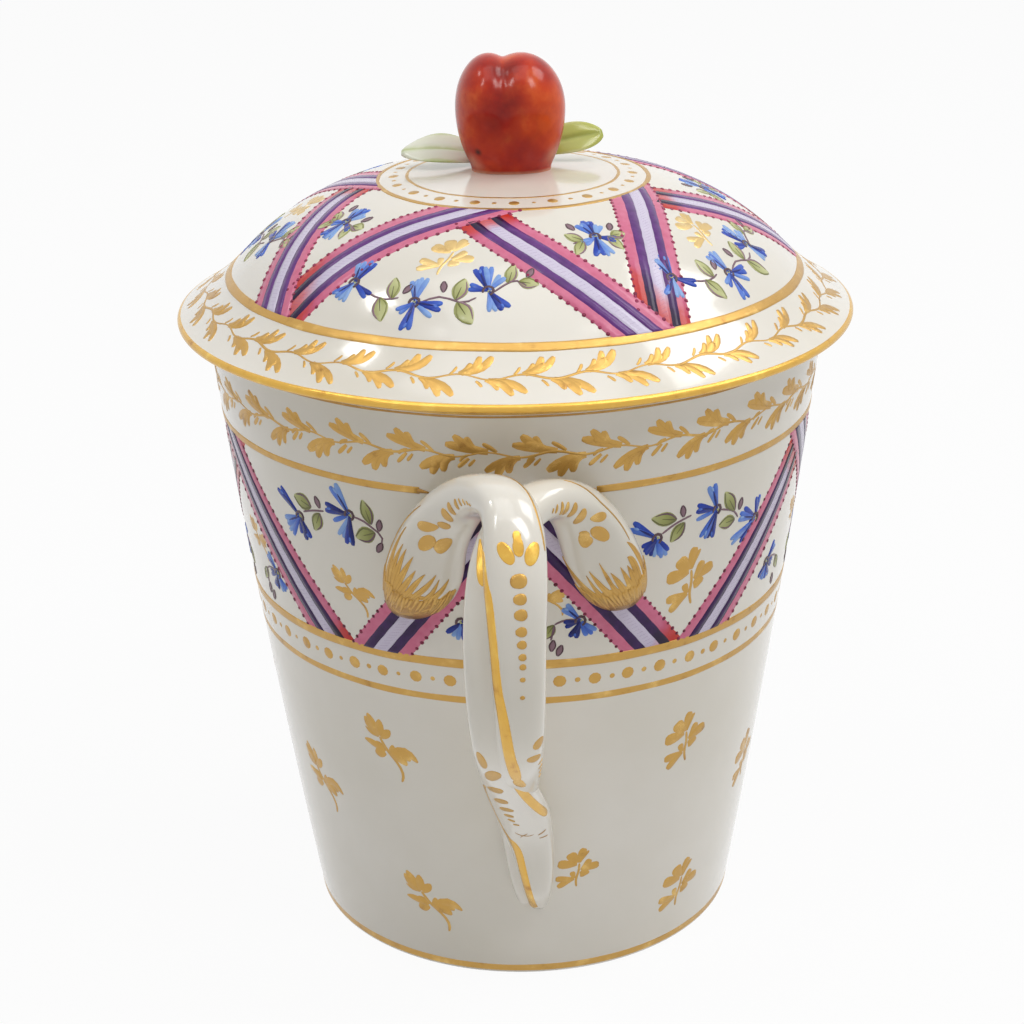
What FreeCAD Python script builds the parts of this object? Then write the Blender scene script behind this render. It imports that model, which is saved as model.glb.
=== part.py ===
import FreeCAD, Part

# A covered chocolate cup in hard porcelain, in millimetres, with +Z up.
# The origin is the middle of the foot ring's resting plane, on the axis of the beaker, and the
# handle points to -Y. The beaker and its handle are luted together and fired as one piece. The
# cover, with its fruit and leaves, is fired as a second piece and only rests on the lip.

import math
import os

import Sketcher
from FreeCAD import Placement, Rotation, Vector

DOC = FreeCAD.newDocument("ChocolateCup")

# Driving dimensions: alias, value, what it measures
SIZES = [
    ("cup_height", 90.4, "lip above the foot's resting plane"),
    ("base_radius", 31.4, "outside of the beaker at the foot"),
    ("lip_radius", 43.45, "outside of the beaker at the lip"),
    ("wall_bow", 0.6, "swell of the side past a straight taper"),
    ("wall", 2.6, "thickness of the beaker's side"),
    ("bottom", 3.6, "thickness of the beaker's bottom"),
    ("foot_height", 1.3, "depth of the recess under the bottom"),
    ("foot_width", 2.6, "width of the foot ring"),
    ("foot_round", 0.7, "rounding of the foot ring's outer edge"),
    ("lip_round", 0.7, "rounding of the lip's two edges"),
    ("inner_round", 6.0, "rounding inside, between bottom and side"),
    ("handle_top", 82.3, "height of the strap's middle line at the top of the loop"),
    ("handle_foot", 12.8, "height of the handle's lower tip"),
    ("handle_reach", 23.4, "furthest stand-off of the strap's middle line from the side"),
    ("strap_width", 6.5, "width of a strap in the middle of the loop"),
    ("strap_thickness", 4.4, "thickness of a strap in the middle of the loop"),
    ("root_sink", 1.0, "depth of a strap end's middle line inside the side"),
    ("root_thickness", 1.8, "thickness of a strap end inside the side"),
    ("cover_radius", 47.5, "outside of the cover's brim"),
    ("dome_height", 19.95, "top of the cover's crown above the lip"),
    ("crown_arc", 175.0, "radius of the crown, the flat middle of the dome"),
    ("crown_angle", 5.0, "slope in degrees where the crown passes into the shoulder"),
    ("shoulder_arc", 36.5, "radius of the dome's shoulder"),
    ("neck_angle", 46.4, "slope in degrees where the shoulder turns out into the brim"),
    ("brim_sweep", 36.0, "radius of the brim's hollow"),
    ("rim_top", 1.42, "upper edge of the brim's rounded rim above the lip"),
    ("rim_bottom", 0.3, "lower edge of the rim above the lip"),
    ("rim_swell", 0.385, "how far the rim swells past its two edges"),
    ("cover_wall", 2.8, "thickness of the dome"),
    ("seat_overhang", 0.7, "flat seat of the cover past the lip's outside"),
    ("ring_clearance", 0.7, "play between the locating ring and the beaker"),
    ("ring_depth", 4.6, "depth of the locating ring below the lip"),
    ("ring_width", 2.5, "thickness of the locating ring"),
    ("ring_draft", 0.6, "how much narrower the locating ring is at its lower edge"),
    ("ring_bevel", 0.7, "bevel of the locating ring's two lower edges"),
    ("fruit_offset", -0.35, "middle of the fruit's foot to the side of the axis"),
    ("fruit_girth", 8.4, "height of the fruit's widest place above the crown"),
    ("fruit_rise", 7.55, "top of the fruit above its widest place"),
    ("fruit_hang", 9.6, "how far the lobes would reach down from there"),
    ("fruit_depth", 6.9, "half of the fruit's depth, front to back"),
    ("lobe_offset", -0.9, "middle of the two lobes to the side of the axis"),
    ("lobe_spacing", 4.4, "distance between the middles of the two lobes"),
    ("left_lobe", 4.75, "half width of the smaller lobe"),
    ("right_lobe", 6.1, "half width of the larger lobe"),
    ("seat_radius", 6.4, "foot of the fruit where it joins the crown"),
    ("seat_neck", 5.4, "fruit's neck just above that"),
    ("seat_height", 1.6, "height of the flare under the fruit"),
    ("leaf_length", 12.4, "leaf from root to tip"),
    ("leaf_width", 6.4, "leaf across its middle"),
    ("leaf_thickness", 1.1, "thickness of a leaf"),
    ("leaf_bend", 17.0, "radius that a leaf is arched to"),
    ("right_root", 1.35, "root of the right leaf from the fruit's middle, to the side"),
    ("left_root", 2.85, "root of the left leaf from the fruit's middle, to the side"),
    ("leaf_back", 4.5, "root of a leaf behind the fruit's middle"),
    ("leaf_lift", 1.3, "height over the crown at which a leaf's arch starts"),
    ("stalk_radius", 1.3, "radius of the short stalk behind the fruit"),
    ("stalk_length", 9.0, "stalk from the fruit's middle to its cut end"),
]

sheet = DOC.addObject("Spreadsheet::Sheet", "Sizes")
for row, (alias, value, note) in enumerate(SIZES, start=1):
    sheet.set(f"A{row}", note)
    sheet.set(f"B{row}", str(value))
    sheet.setAlias(f"B{row}", alias)
DOC.recompute()


def size(alias):
    """The value of one driving dimension."""
    return float(sheet.get(alias))


def bind(target, **expressions):
    """Ties properties of an object to expressions of the sheet."""
    for prop, expression in expressions.items():
        target.setExpression(prop, expression)


# Half sections, drawn on a plane through the axis


class HalfSection:
    """A closed outline of lines and arcs whose corners are tied to the sheet.

    Each corner is a pair of expressions, the distance from the axis and the height.
    """

    def __init__(self, body, name):
        self.sketch = body.newObject("Sketcher::SketchObject", name)
        plane = next(f for f in body.Origin.OriginFeatures if f.Role == "XZ_Plane")
        self.sketch.AttachmentSupport = [(plane, "")]
        self.sketch.MapMode = "FlatFace"
        self.corners = []
        self.edges = []

    def value(self, expression):
        """What an expression comes to now."""
        return float(self.sketch.evalExpression(expression))

    def corner(self, radius, height):
        """Adds a corner, and returns its number."""
        self.corners.append((radius, height))
        return len(self.corners) - 1

    def place(self, corner):
        """Where a corner lies on the sketch."""
        radius, height = self.corners[corner]
        return Vector(self.value(radius), self.value(height), 0)

    def line(self, start, end):
        """A straight edge between two corners."""
        edge = Part.LineSegment(self.place(start), self.place(end))
        self.edges.append((self.sketch.addGeometry(edge), 1, start, 2, end))

    def arc(self, start, end, radius, bulge):
        """An arc between two corners. bulge is 1 where it swells to the left of the way, else -1."""
        a, b = self.place(start), self.place(end)
        half = (b - a) / 2
        r = self.value(radius)
        side = Vector(-half.y, half.x, 0).normalize() * bulge
        centre = a + half - side * math.sqrt(r * r - half.Length**2)
        # an arc runs against the clock, so one that swells to the left starts at its far corner
        first, second = (b, a) if bulge > 0 else (a, b)
        from_angle = math.atan2(first.y - centre.y, first.x - centre.x)
        to_angle = math.atan2(second.y - centre.y, second.x - centre.x)
        if to_angle < from_angle:
            to_angle += 2 * math.pi
        circle = Part.Circle(centre, Vector(0, 0, 1), r)
        number = self.sketch.addGeometry(Part.ArcOfCircle(circle, from_angle, to_angle))
        ends = (2, start, 1, end) if bulge > 0 else (1, start, 2, end)
        self.edges.append((number,) + ends)
        constraint = self.sketch.addConstraint(Sketcher.Constraint("Radius", number, r))
        self.sketch.setExpression(f"Constraints[{constraint}]", radius)

    def close(self):
        """Joins neighbouring edges and ties every corner to the sheet."""
        sketch = self.sketch
        at = {}
        for number, first, start, second, end in self.edges:
            at.setdefault(start, []).append((number, first))
            at.setdefault(end, []).append((number, second))
        for index, (radius, height) in enumerate(self.corners):
            (number, point), (other, other_point) = at[index]
            sketch.addConstraint(Sketcher.Constraint("Coincident", number, point, other, other_point))
            place = self.place(index)
            for kind, where, expression, axis in (
                ("DistanceX", place.x, radius, -2),
                ("DistanceY", place.y, height, -1),
            ):
                if expression == "0":
                    sketch.addConstraint(Sketcher.Constraint("PointOnObject", number, point, axis))
                    continue
                constraint = sketch.addConstraint(Sketcher.Constraint(kind, -1, 1, number, point, where))
                sketch.setExpression(f"Constraints[{constraint}]", expression)
        return sketch


def turned(body, name, sketch):
    """A half section turned right round the axis."""
    turn = body.newObject("PartDesign::Revolution", name)
    turn.Profile = sketch
    turn.ReferenceAxis = (sketch, ["V_Axis"])
    turn.Angle = 360
    DOC.recompute()
    return turn


def beside(corner, angle, distance):
    """Expressions for the place at a distance from a corner, in a direction given as an angle."""
    radius, height = corner
    return f"{radius} + ({distance}) * cos({angle})", f"{height} + ({distance}) * sin({angle})"


# The beaker

INNER_BOTTOM = "Sizes.foot_height + Sizes.bottom"
TAPER = "(Sizes.lip_radius - Sizes.base_radius) / Sizes.cup_height"
# The side swells in three straight tapers. How far each leans out from upright, and the inside
FOOT_LEAN = f"atan({TAPER} + 8 / 3 * Sizes.wall_bow / Sizes.cup_height)"
LIP_LEAN = f"atan({TAPER} - 8 / 3 * Sizes.wall_bow / Sizes.cup_height)"
INNER_LEAN = f"atan({TAPER})"


def side_place(third):
    """Expressions for a place on the side, at a number of thirds of its height."""
    share = f"{third} / 3"
    taper = f"Sizes.base_radius + (Sizes.lip_radius - Sizes.base_radius) * {share}"
    return f"{taper} + 4 * Sizes.wall_bow * {share} * (1 - {share})", f"Sizes.cup_height * {share}"


def side_radius(height):
    """Outside of the beaker at a height: a straight taper plus the swell of its side."""
    share = height / size("cup_height")
    straight = size("base_radius") + (size("lip_radius") - size("base_radius")) * share
    return straight + size("wall_bow") * 4 * share * (1 - share)


def make_beaker():
    """The tapering beaker: swelling side, foot ring, recessed bottom and rounded lip."""
    body = DOC.addObject("PartDesign::Body", "Beaker")
    section = HalfSection(body, "BeakerSection")
    foot = ("Sizes.base_radius", "0")
    outer_lip = ("Sizes.lip_radius", "Sizes.cup_height")
    inner_lip = ("Sizes.lip_radius - Sizes.wall", "Sizes.cup_height")
    floor_edge = (f"Sizes.base_radius - Sizes.wall + ({INNER_BOTTOM}) * ({TAPER})", INNER_BOTTOM)
    # a rounding starts this far from its corner
    foot_start = f"Sizes.foot_round * tan(45 deg - {FOOT_LEAN} / 2)"
    outer_start = f"Sizes.lip_round * tan(45 deg + {LIP_LEAN} / 2)"
    inner_start = f"Sizes.lip_round * tan(45 deg - {INNER_LEAN} / 2)"
    floor_start = f"Sizes.inner_round * tan(45 deg - {INNER_LEAN} / 2)"
    places = [
        ("Sizes.base_radius - Sizes.foot_width", "0"),
        beside(foot, "180 deg", foot_start),
        beside(foot, f"90 deg - {FOOT_LEAN}", foot_start),
        side_place(1),
        side_place(2),
        beside(outer_lip, f"270 deg - {LIP_LEAN}", outer_start),
        beside(outer_lip, "180 deg", outer_start),
        beside(inner_lip, "0 deg", inner_start),
        beside(inner_lip, f"270 deg - {INNER_LEAN}", inner_start),
        beside(floor_edge, f"90 deg - {INNER_LEAN}", floor_start),
        beside(floor_edge, "180 deg", floor_start),
        ("0", INNER_BOTTOM),
        ("0", "Sizes.foot_height"),
        ("Sizes.base_radius - Sizes.foot_width", "Sizes.foot_height"),
    ]
    corners = [section.corner(*place) for place in places]
    rounds = {
        1: ("Sizes.foot_round", -1),
        5: ("Sizes.lip_round", -1),
        7: ("Sizes.lip_round", -1),
        9: ("Sizes.inner_round", 1),
    }
    for number, (start, end) in enumerate(zip(corners, corners[1:] + corners[:1])):
        if number in rounds:
            section.arc(start, end, *rounds[number])
        else:
            section.line(start, end)
    turned(body, "BeakerTurned", section.close())
    return body


# The handle: two straps that cross at the top, run down side by side and cross again
# A station of a strap gives, in order:
#   side    distance to the side of the handle's plane, as a share of the strap's width
#   reach   stand-off from the beaker's side, as a share of the handle's reach
#   rise    height, as a share of the way from the handle's lower tip to its top
#   wide    width, as a share of the strap's width
#   thick   thickness, as a share of the strap's thickness
#   lean    direction of the strap's width: to the side, back to the beaker, and up

LEFT_STRAP = [
    (-2.25, 0.020, 0.702, 1.14, 0.82, (0.90, 0.10, -0.42)),
    (-1.98, 0.073, 0.760, 1.51, 1.14, (0.88, 0.10, -0.45)),
    (-1.75, 0.103, 0.840, 1.45, 1.23, (0.80, 0.15, -0.57)),
    (-1.35, 0.188, 0.925, 1.20, 1.23, (0.70, 0.40, -0.55)),
    (-0.74, 0.385, 0.994, 1.05, 1.14, (0.68, 0.66, -0.25)),
    (-0.23, 0.624, 1.000, 1.08, 1.05, (0.85, 0.50, 0.00)),
    (-0.11, 0.855, 0.929, 1.17, 1.00, (1.00, 0.10, 0.00)),
    (-0.09, 0.991, 0.809, 1.08, 1.00, (1.00, 0.00, 0.00)),
    (-0.08, 1.000, 0.694, 1.00, 1.00, (1.00, 0.00, 0.00)),
    (-0.11, 0.868, 0.564, 0.98, 1.00, (1.00, 0.00, 0.00)),
    (-0.17, 0.581, 0.435, 0.95, 0.95, (1.00, 0.00, 0.00)),
    (-0.20, 0.256, 0.312, 0.89, 0.86, (1.00, 0.00, 0.00)),
    (-0.14, 0.081, 0.197, 0.71, 0.68, (1.00, 0.00, 0.00)),
    (-0.05, 0.017, 0.060, 0.49, 0.50, (1.00, 0.00, 0.00)),
]
RIGHT_STRAP = [
    (1.98, 0.020, 0.716, 1.14, 0.82, (0.90, -0.10, 0.42)),
    (1.78, 0.073, 0.773, 1.42, 1.14, (0.88, -0.10, 0.45)),
    (1.52, 0.094, 0.840, 1.45, 1.23, (0.80, -0.15, 0.57)),
    (1.17, 0.154, 0.918, 1.20, 1.23, (0.70, -0.40, 0.55)),
    (0.58, 0.282, 0.970, 1.02, 1.09, (0.68, -0.66, 0.25)),
    (-0.06, 0.479, 0.960, 0.95, 1.00, (0.85, -0.50, 0.00)),
    (-0.48, 0.726, 0.899, 0.95, 0.95, (1.00, -0.10, 0.00)),
    (-0.62, 0.906, 0.794, 0.95, 0.95, (1.00, 0.00, 0.00)),
    (-0.60, 0.940, 0.679, 0.95, 0.95, (1.00, 0.00, 0.00)),
    (-0.52, 0.838, 0.557, 0.95, 0.95, (1.00, 0.00, 0.00)),
    (-0.38, 0.607, 0.442, 0.95, 0.95, (1.00, 0.00, -0.15)),
    (-0.08, 0.333, 0.312, 1.11, 1.00, (1.00, 0.00, -0.25)),
    (0.14, 0.145, 0.190, 0.92, 0.91, (1.00, 0.00, -0.10)),
    (0.26, 0.060, 0.060, 0.62, 0.68, (1.00, 0.00, 0.00)),
]
# Points round a strap's section, and how square its oval is: 2 is an ellipse
SECTION_POINTS = 16
SECTION_SQUARENESS = 2.4
# The ends of a strap, sunk in the beaker's side: side, rise, wide and lean as above
LEFT_ENDS = [(-2.37, 0.669, 0.62, (0.92, 0.10, -0.38)), (0.02, 0.0, 0.34, (1.0, 0.0, 0.0))]
RIGHT_ENDS = [(2.08, 0.685, 0.62, (0.92, -0.10, 0.38)), (0.28, -0.009, 0.37, (1.0, 0.0, 0.0))]


def strap_rings(stations, ends):
    """Centre, lean, width and thickness of every section of a strap, in millimetres."""
    rings = []

    def add(side, stand_off, rise, wide, thick, lean):
        height = size("handle_foot") + rise * (size("handle_top") - size("handle_foot"))
        x = side * size("strap_width")
        out = math.sqrt((side_radius(height) + stand_off) ** 2 - x * x)
        rings.append((Vector(x, -out, height), Vector(*lean), wide, thick))

    def add_end(side, rise, wide, lean):
        add(side, -size("root_sink"), rise, wide * size("strap_width"), size("root_thickness"), lean)

    add_end(*ends[0])
    for side, reach, rise, wide, thick, lean in stations:
        add(
            side,
            reach * size("handle_reach"),
            rise,
            wide * size("strap_width"),
            thick * size("strap_thickness"),
            lean,
        )
    add_end(*ends[1])
    return rings


def strap_section(centre, across, along, wide, thick):
    """Points round one section: an oval, a little squarer than an ellipse."""
    normal = along.cross(across)
    points = []
    for step in range(SECTION_POINTS):
        angle = 2 * math.pi * (step + 0.5) / SECTION_POINTS
        cosine, sine = math.cos(angle), math.sin(angle)
        x = math.copysign(abs(cosine) ** (2 / SECTION_SQUARENESS), cosine) * wide / 2
        y = math.copysign(abs(sine) ** (2 / SECTION_SQUARENESS), sine) * thick / 2
        points.append(centre + across * x + normal * y)
    return points


def make_strap(name, stations, ends):
    """One strap: a smooth loft through sections that are each square to the strap's middle line."""
    rings = strap_rings(stations, ends)
    line = Part.BSplineCurve()
    line.interpolate(Points=[ring[0] for ring in rings])
    sections = []
    for number, (centre, lean, wide, thick) in enumerate(rings):
        along = Vector(*line.tangent(line.parameter(centre))[0])
        across = (lean - along * lean.dot(along)).normalize()
        points = strap_section(centre, across, along, wide, thick)
        section = DOC.addObject("Part::Feature", f"{name}Section{number}")
        section.Shape = Part.makePolygon(points + points[:1])
        sections.append(section)
    strap = DOC.addObject("Part::Loft", name)
    strap.Sections = sections
    strap.Solid = True
    return strap


# The cover

LIP = "Sizes.cup_height"
RING_RADIUS = "Sizes.lip_radius - Sizes.wall - Sizes.ring_clearance"
RIM_ROLL = (
    "(((Sizes.rim_top - Sizes.rim_bottom) / 2)^2 + Sizes.rim_swell^2) / (2 * Sizes.rim_swell)"
)


def crown_edge(depth):
    """Where the crown passes into the shoulder, on a surface that lies depth under the outer one."""
    arc = f"(Sizes.crown_arc - {depth})"
    radius = f"{arc} * sin(Sizes.crown_angle)"
    height = f"{LIP} + Sizes.dome_height - Sizes.crown_arc + {arc} * cos(Sizes.crown_angle)"
    return radius, height


def neck(depth):
    """Where the shoulder ends at the brim, on the same surface."""
    radius, height = crown_edge(depth)
    arc = f"(Sizes.shoulder_arc - {depth})"
    return (
        f"{radius} + {arc} * (sin(Sizes.neck_angle) - sin(Sizes.crown_angle))",
        f"{height} - {arc} * (cos(Sizes.crown_angle) - cos(Sizes.neck_angle))",
    )


def make_shell():
    """The cover without its fruit: crown, shoulder, brim with rounded rim, seat and locating ring."""
    body = DOC.addObject("PartDesign::Body", "CoverShell")
    section = HalfSection(body, "CoverSection")
    ring_low = f"{RING_RADIUS} - Sizes.ring_draft"
    ring_bottom = f"{LIP} - Sizes.ring_depth"
    top = section.corner("0", f"{LIP} + Sizes.dome_height")
    outer_crown = section.corner(*crown_edge("0"))
    outer_neck = section.corner(*neck("0"))
    rim_radius = "Sizes.cover_radius - Sizes.rim_swell"
    rim_top = section.corner(rim_radius, f"{LIP} + Sizes.rim_top")
    rim_bottom = section.corner(rim_radius, f"{LIP} + Sizes.rim_bottom")
    seat_outside = section.corner("Sizes.lip_radius + Sizes.seat_overhang", LIP)
    seat_inside = section.corner(RING_RADIUS, LIP)
    ring_corner = (ring_low, ring_bottom)
    ring_lean = "atan(Sizes.ring_draft / Sizes.ring_depth)"
    ring_outside = section.corner(*beside(ring_corner, f"90 deg - {ring_lean}", "Sizes.ring_bevel"))
    ring_outer_foot = section.corner(*beside(ring_corner, "180 deg", "Sizes.ring_bevel"))
    ring_inner_foot = section.corner(f"{ring_low} - Sizes.ring_width + Sizes.ring_bevel", ring_bottom)
    ring_inside = section.corner(f"{ring_low} - Sizes.ring_width", f"{ring_bottom} + Sizes.ring_bevel")
    inner_neck = section.corner(*neck("Sizes.cover_wall"))
    inner_crown = section.corner(*crown_edge("Sizes.cover_wall"))
    hollow_top = section.corner("0", f"{LIP} + Sizes.dome_height - Sizes.cover_wall")
    section.arc(top, outer_crown, "Sizes.crown_arc", 1)
    section.arc(outer_crown, outer_neck, "Sizes.shoulder_arc", 1)
    section.arc(outer_neck, rim_top, "Sizes.brim_sweep", -1)
    section.arc(rim_top, rim_bottom, RIM_ROLL, 1)
    section.line(rim_bottom, seat_outside)
    section.line(seat_outside, seat_inside)
    section.line(seat_inside, ring_outside)
    section.line(ring_outside, ring_outer_foot)
    section.line(ring_outer_foot, ring_inner_foot)
    section.line(ring_inner_foot, ring_inside)
    section.line(ring_inside, inner_neck)
    section.arc(inner_neck, inner_crown, "Sizes.shoulder_arc - Sizes.cover_wall", -1)
    section.arc(inner_crown, hollow_top, "Sizes.crown_arc - Sizes.cover_wall", -1)
    section.line(hollow_top, top)
    turned(body, "CoverTurned", section.close())
    return body


# The fruit, its leaves and stalk, on the crown of the cover

CROWN_TOP = f"{LIP} + Sizes.dome_height"
FRUIT_MIDDLE = f"{CROWN_TOP} + Sizes.fruit_girth"


def half_lobe(name, side, half_width, height, upper):
    """The upper or lower half of one of the fruit's two egg-shaped lobes."""
    half = DOC.addObject("Part::Ellipsoid", name)
    half.Angle1 = 0 if upper else -90
    half.Angle2 = 90 if upper else 0
    bind(
        half,
        Radius1=f"Sizes.{height}",
        Radius2=f"Sizes.{half_width}",
        Radius3="Sizes.fruit_depth",
    )
    half.setExpression("Placement.Base.x", f"Sizes.lobe_offset + {side} * Sizes.lobe_spacing / 2")
    half.setExpression("Placement.Base.z", FRUIT_MIDDLE)
    return half


def make_fruit():
    """Two lobes grown together, and the flare of glaze on which they sit."""
    pieces = []
    for side, lobe in ((-1, "left_lobe"), (1, "right_lobe")):
        name = lobe.title().replace("_", "")
        pieces.append(half_lobe(f"{name}Top", side, lobe, "fruit_rise", True))
        pieces.append(half_lobe(f"{name}Bottom", side, lobe, "fruit_hang", False))
    flare = DOC.addObject("Part::Cone", "FruitSeat")
    bind(flare, Radius1="Sizes.seat_radius", Radius2="Sizes.seat_neck")
    bind(flare, Height="Sizes.seat_height + Sizes.cover_wall / 2")
    flare.setExpression("Placement.Base.x", "Sizes.fruit_offset")
    flare.setExpression("Placement.Base.z", f"{CROWN_TOP} - Sizes.cover_wall / 2")
    pieces.append(flare)
    return pieces


def leaf_outline():
    """A pointed oval from two arcs, from the root at the origin to the tip on the X axis."""
    sketch = DOC.addObject("Sketcher::SketchObject", "LeafOutline")
    length, width = size("leaf_length"), size("leaf_width")
    radius = (length**2 / 4 + width**2 / 4) / width
    half_angle = math.asin(length / 2 / radius)
    low = Part.Circle(Vector(length / 2, radius - width / 2, 0), Vector(0, 0, 1), radius)
    high = Part.Circle(Vector(length / 2, width / 2 - radius, 0), Vector(0, 0, 1), radius)
    down, up = -math.pi / 2, math.pi / 2
    under = sketch.addGeometry(Part.ArcOfCircle(low, down - half_angle, down + half_angle))
    over = sketch.addGeometry(Part.ArcOfCircle(high, up - half_angle, up + half_angle))
    add = sketch.addConstraint
    add(Sketcher.Constraint("Coincident", under, 1, -1, 1))
    add(Sketcher.Constraint("Coincident", over, 2, under, 1))
    add(Sketcher.Constraint("Coincident", over, 1, under, 2))
    add(Sketcher.Constraint("PointOnObject", under, 2, -1))
    across = add(Sketcher.Constraint("DistanceX", -1, 1, under, 2, length))
    sketch.setExpression(f"Constraints[{across}]", "Sizes.leaf_length")
    for arc in (under, over):
        bend = add(Sketcher.Constraint("Radius", arc, radius))
        sketch.setExpression(
            f"Constraints[{bend}]",
            "(Sizes.leaf_length^2 / 4 + Sizes.leaf_width^2 / 4) / Sizes.leaf_width",
        )
    return sketch


def make_leaf(name, outline, root, turn):
    """A leaf cut by its outline from a bent sheet. turn places its root, length and face."""
    blank = DOC.addObject("Part::Extrusion", f"{name}Blank")
    blank.Base = outline
    blank.Dir = Vector(0, 0, 1)
    blank.Solid = True
    bind(blank, LengthFwd="Sizes.leaf_bend", LengthRev="Sizes.leaf_bend")
    rolls = []
    for shell, extra in (("Outside", "Sizes.leaf_thickness / 2"), ("Inside", "-Sizes.leaf_thickness / 2")):
        roll = DOC.addObject("Part::Cylinder", f"{name}{shell}")
        roll.Placement = Placement(Vector(), Rotation(Vector(1, 0, 0), 90))
        bind(roll, Radius=f"Sizes.leaf_bend + {extra}", Height="2 * Sizes.leaf_width")
        roll.setExpression("Placement.Base.x", "Sizes.leaf_length / 2")
        roll.setExpression("Placement.Base.y", "Sizes.leaf_width")
        roll.setExpression("Placement.Base.z", "-Sizes.leaf_bend")
        rolls.append(roll)
    sheet_bent = DOC.addObject("Part::Cut", f"{name}Sheet")
    sheet_bent.Base, sheet_bent.Tool = rolls
    leaf = DOC.addObject("Part::Common", name)
    leaf.Base, leaf.Tool = blank, sheet_bent
    leaf.Placement = Placement(Vector(), turn)
    leaf.setExpression("Placement.Base.x", f"Sizes.fruit_offset + {root}")
    leaf.setExpression("Placement.Base.y", "Sizes.leaf_back")
    leaf.setExpression("Placement.Base.z", f"{CROWN_TOP} + Sizes.leaf_lift")
    return leaf


def make_stalk():
    """The short stalk behind the fruit, from which the two leaves grow."""
    stalk = DOC.addObject("Part::Cylinder", "Stalk")
    stalk.Placement = Placement(Vector(), Rotation(Vector(1, 0, 0), -92))
    bind(stalk, Radius="Sizes.stalk_radius", Height="Sizes.stalk_length")
    stalk.setExpression("Placement.Base.x", "Sizes.fruit_offset")
    stalk.setExpression("Placement.Base.z", f"{CROWN_TOP} + Sizes.stalk_radius / 2")
    return stalk


def joined(name, pieces):
    """Pieces that are fired as one, fused to one solid."""
    whole = DOC.addObject("Part::MultiFuse", name)
    whole.Shapes = pieces
    whole.Refine = False
    whole.Label = name
    return whole


def check():
    """Stops the script where an object has failed or a sub-part is not one valid solid."""
    for item in DOC.Objects:
        if "Invalid" in item.State or "Error" in item.State:
            raise RuntimeError(f"{item.Name} has failed: {item.State}")
    for part in (cup, cover):
        shape = part.Shape
        if shape.isNull() or not shape.isValid() or len(shape.Solids) != 1:
            raise RuntimeError(f"{part.Label} is not one valid solid")


beaker = make_beaker()
left_strap = make_strap("LeftStrap", LEFT_STRAP, LEFT_ENDS)
right_strap = make_strap("RightStrap", RIGHT_STRAP, RIGHT_ENDS)
handle = joined("Handle", [left_strap, right_strap])
cup = joined("cup", [beaker, handle])

outline = leaf_outline()
right_turn = Rotation(Vector(0.97, 0.155, 0.187), Vector(), Vector(0.0, -0.80, 0.60), "XZY")
left_turn = Rotation(Vector(-0.99, 0.0, 0.08), Vector(), Vector(0.0, -0.42, 0.91), "XZY")
right_leaf = make_leaf("RightLeaf", outline, "Sizes.right_root", right_turn)
left_leaf = make_leaf("LeftLeaf", outline, "-Sizes.left_root", left_turn)
cover = joined("cover", [make_shell(), *make_fruit(), right_leaf, left_leaf, make_stalk()])
DOC.recompute()
check()

os.makedirs("parts", exist_ok=True)
for part in (cup, cover):
    part.Shape.exportStep(f"parts/{part.Label}.step")
    box = part.Shape.optimalBoundingBox()
    print(f"{part.Label}: {part.Shape.Volume / 1000:.1f} cm3, {len(part.Shape.Faces)} faces,")
    print(f"  x {box.XMin:.2f} {box.XMax:.2f}  y {box.YMin:.2f} {box.YMax:.2f}  z {box.ZMin:.2f} {box.ZMax:.2f}")
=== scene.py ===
"""A covered chocolate cup of glazed porcelain, painted with ribbons and cornflowers and gilded.

Shapes are worked out in millimetres and written to the meshes in metres. Angles are in degrees
round the axis, counted from the handle, and grow to the right as the handle faces the viewer.
"""

import math

import bpy
import numpy as np
from mathutils import Matrix, Vector


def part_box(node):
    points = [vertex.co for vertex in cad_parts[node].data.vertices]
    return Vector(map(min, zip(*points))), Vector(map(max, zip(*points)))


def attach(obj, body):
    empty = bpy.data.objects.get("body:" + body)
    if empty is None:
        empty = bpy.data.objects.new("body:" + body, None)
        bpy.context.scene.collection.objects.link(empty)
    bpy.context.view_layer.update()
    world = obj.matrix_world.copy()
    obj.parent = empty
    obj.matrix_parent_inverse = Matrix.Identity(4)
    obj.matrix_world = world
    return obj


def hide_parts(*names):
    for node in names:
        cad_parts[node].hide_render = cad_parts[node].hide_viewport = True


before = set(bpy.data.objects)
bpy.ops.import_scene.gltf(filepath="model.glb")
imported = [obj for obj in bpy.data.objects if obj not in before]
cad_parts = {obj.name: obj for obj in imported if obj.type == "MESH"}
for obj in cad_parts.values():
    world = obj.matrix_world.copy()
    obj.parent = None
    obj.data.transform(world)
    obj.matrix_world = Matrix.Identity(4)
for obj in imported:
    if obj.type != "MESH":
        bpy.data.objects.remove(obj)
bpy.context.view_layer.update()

MM = 0.001
cup_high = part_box("cup")[1]
cover_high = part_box("cover")[1]

# The beaker, in millimetres
LIP = cup_high.z / MM
LIP_RADIUS = 43.45
BASE_RADIUS = 31.4
SIDE_BOW = 0.6
WALL = 2.6
BOTTOM = 3.6
FOOT_HEIGHT = 1.3
FOOT_WIDTH = 2.6
EDGE_ROUND = 0.7
INNER_ROUND = 6.0

# The cover
BRIM_RADIUS = cover_high.x / MM
CROWN_RISE = 19.95
CROWN_ARC = 175.0
CROWN_ANGLE = 5.0
SHOULDER_ARC = 36.5
NECK_ANGLE = 46.4
BRIM_SWEEP = 36.0
RIM_TOP = 1.42
RIM_BOTTOM = 0.3
RIM_SWELL = 0.385
COVER_WALL = 2.8
SEAT_OVERHANG = 0.7
RING_CLEARANCE = 0.7
RING_DEPTH = 4.6
RING_WIDTH = 2.5
RING_DRAFT = 0.6
CROWN_TOP = LIP + CROWN_RISE

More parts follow.
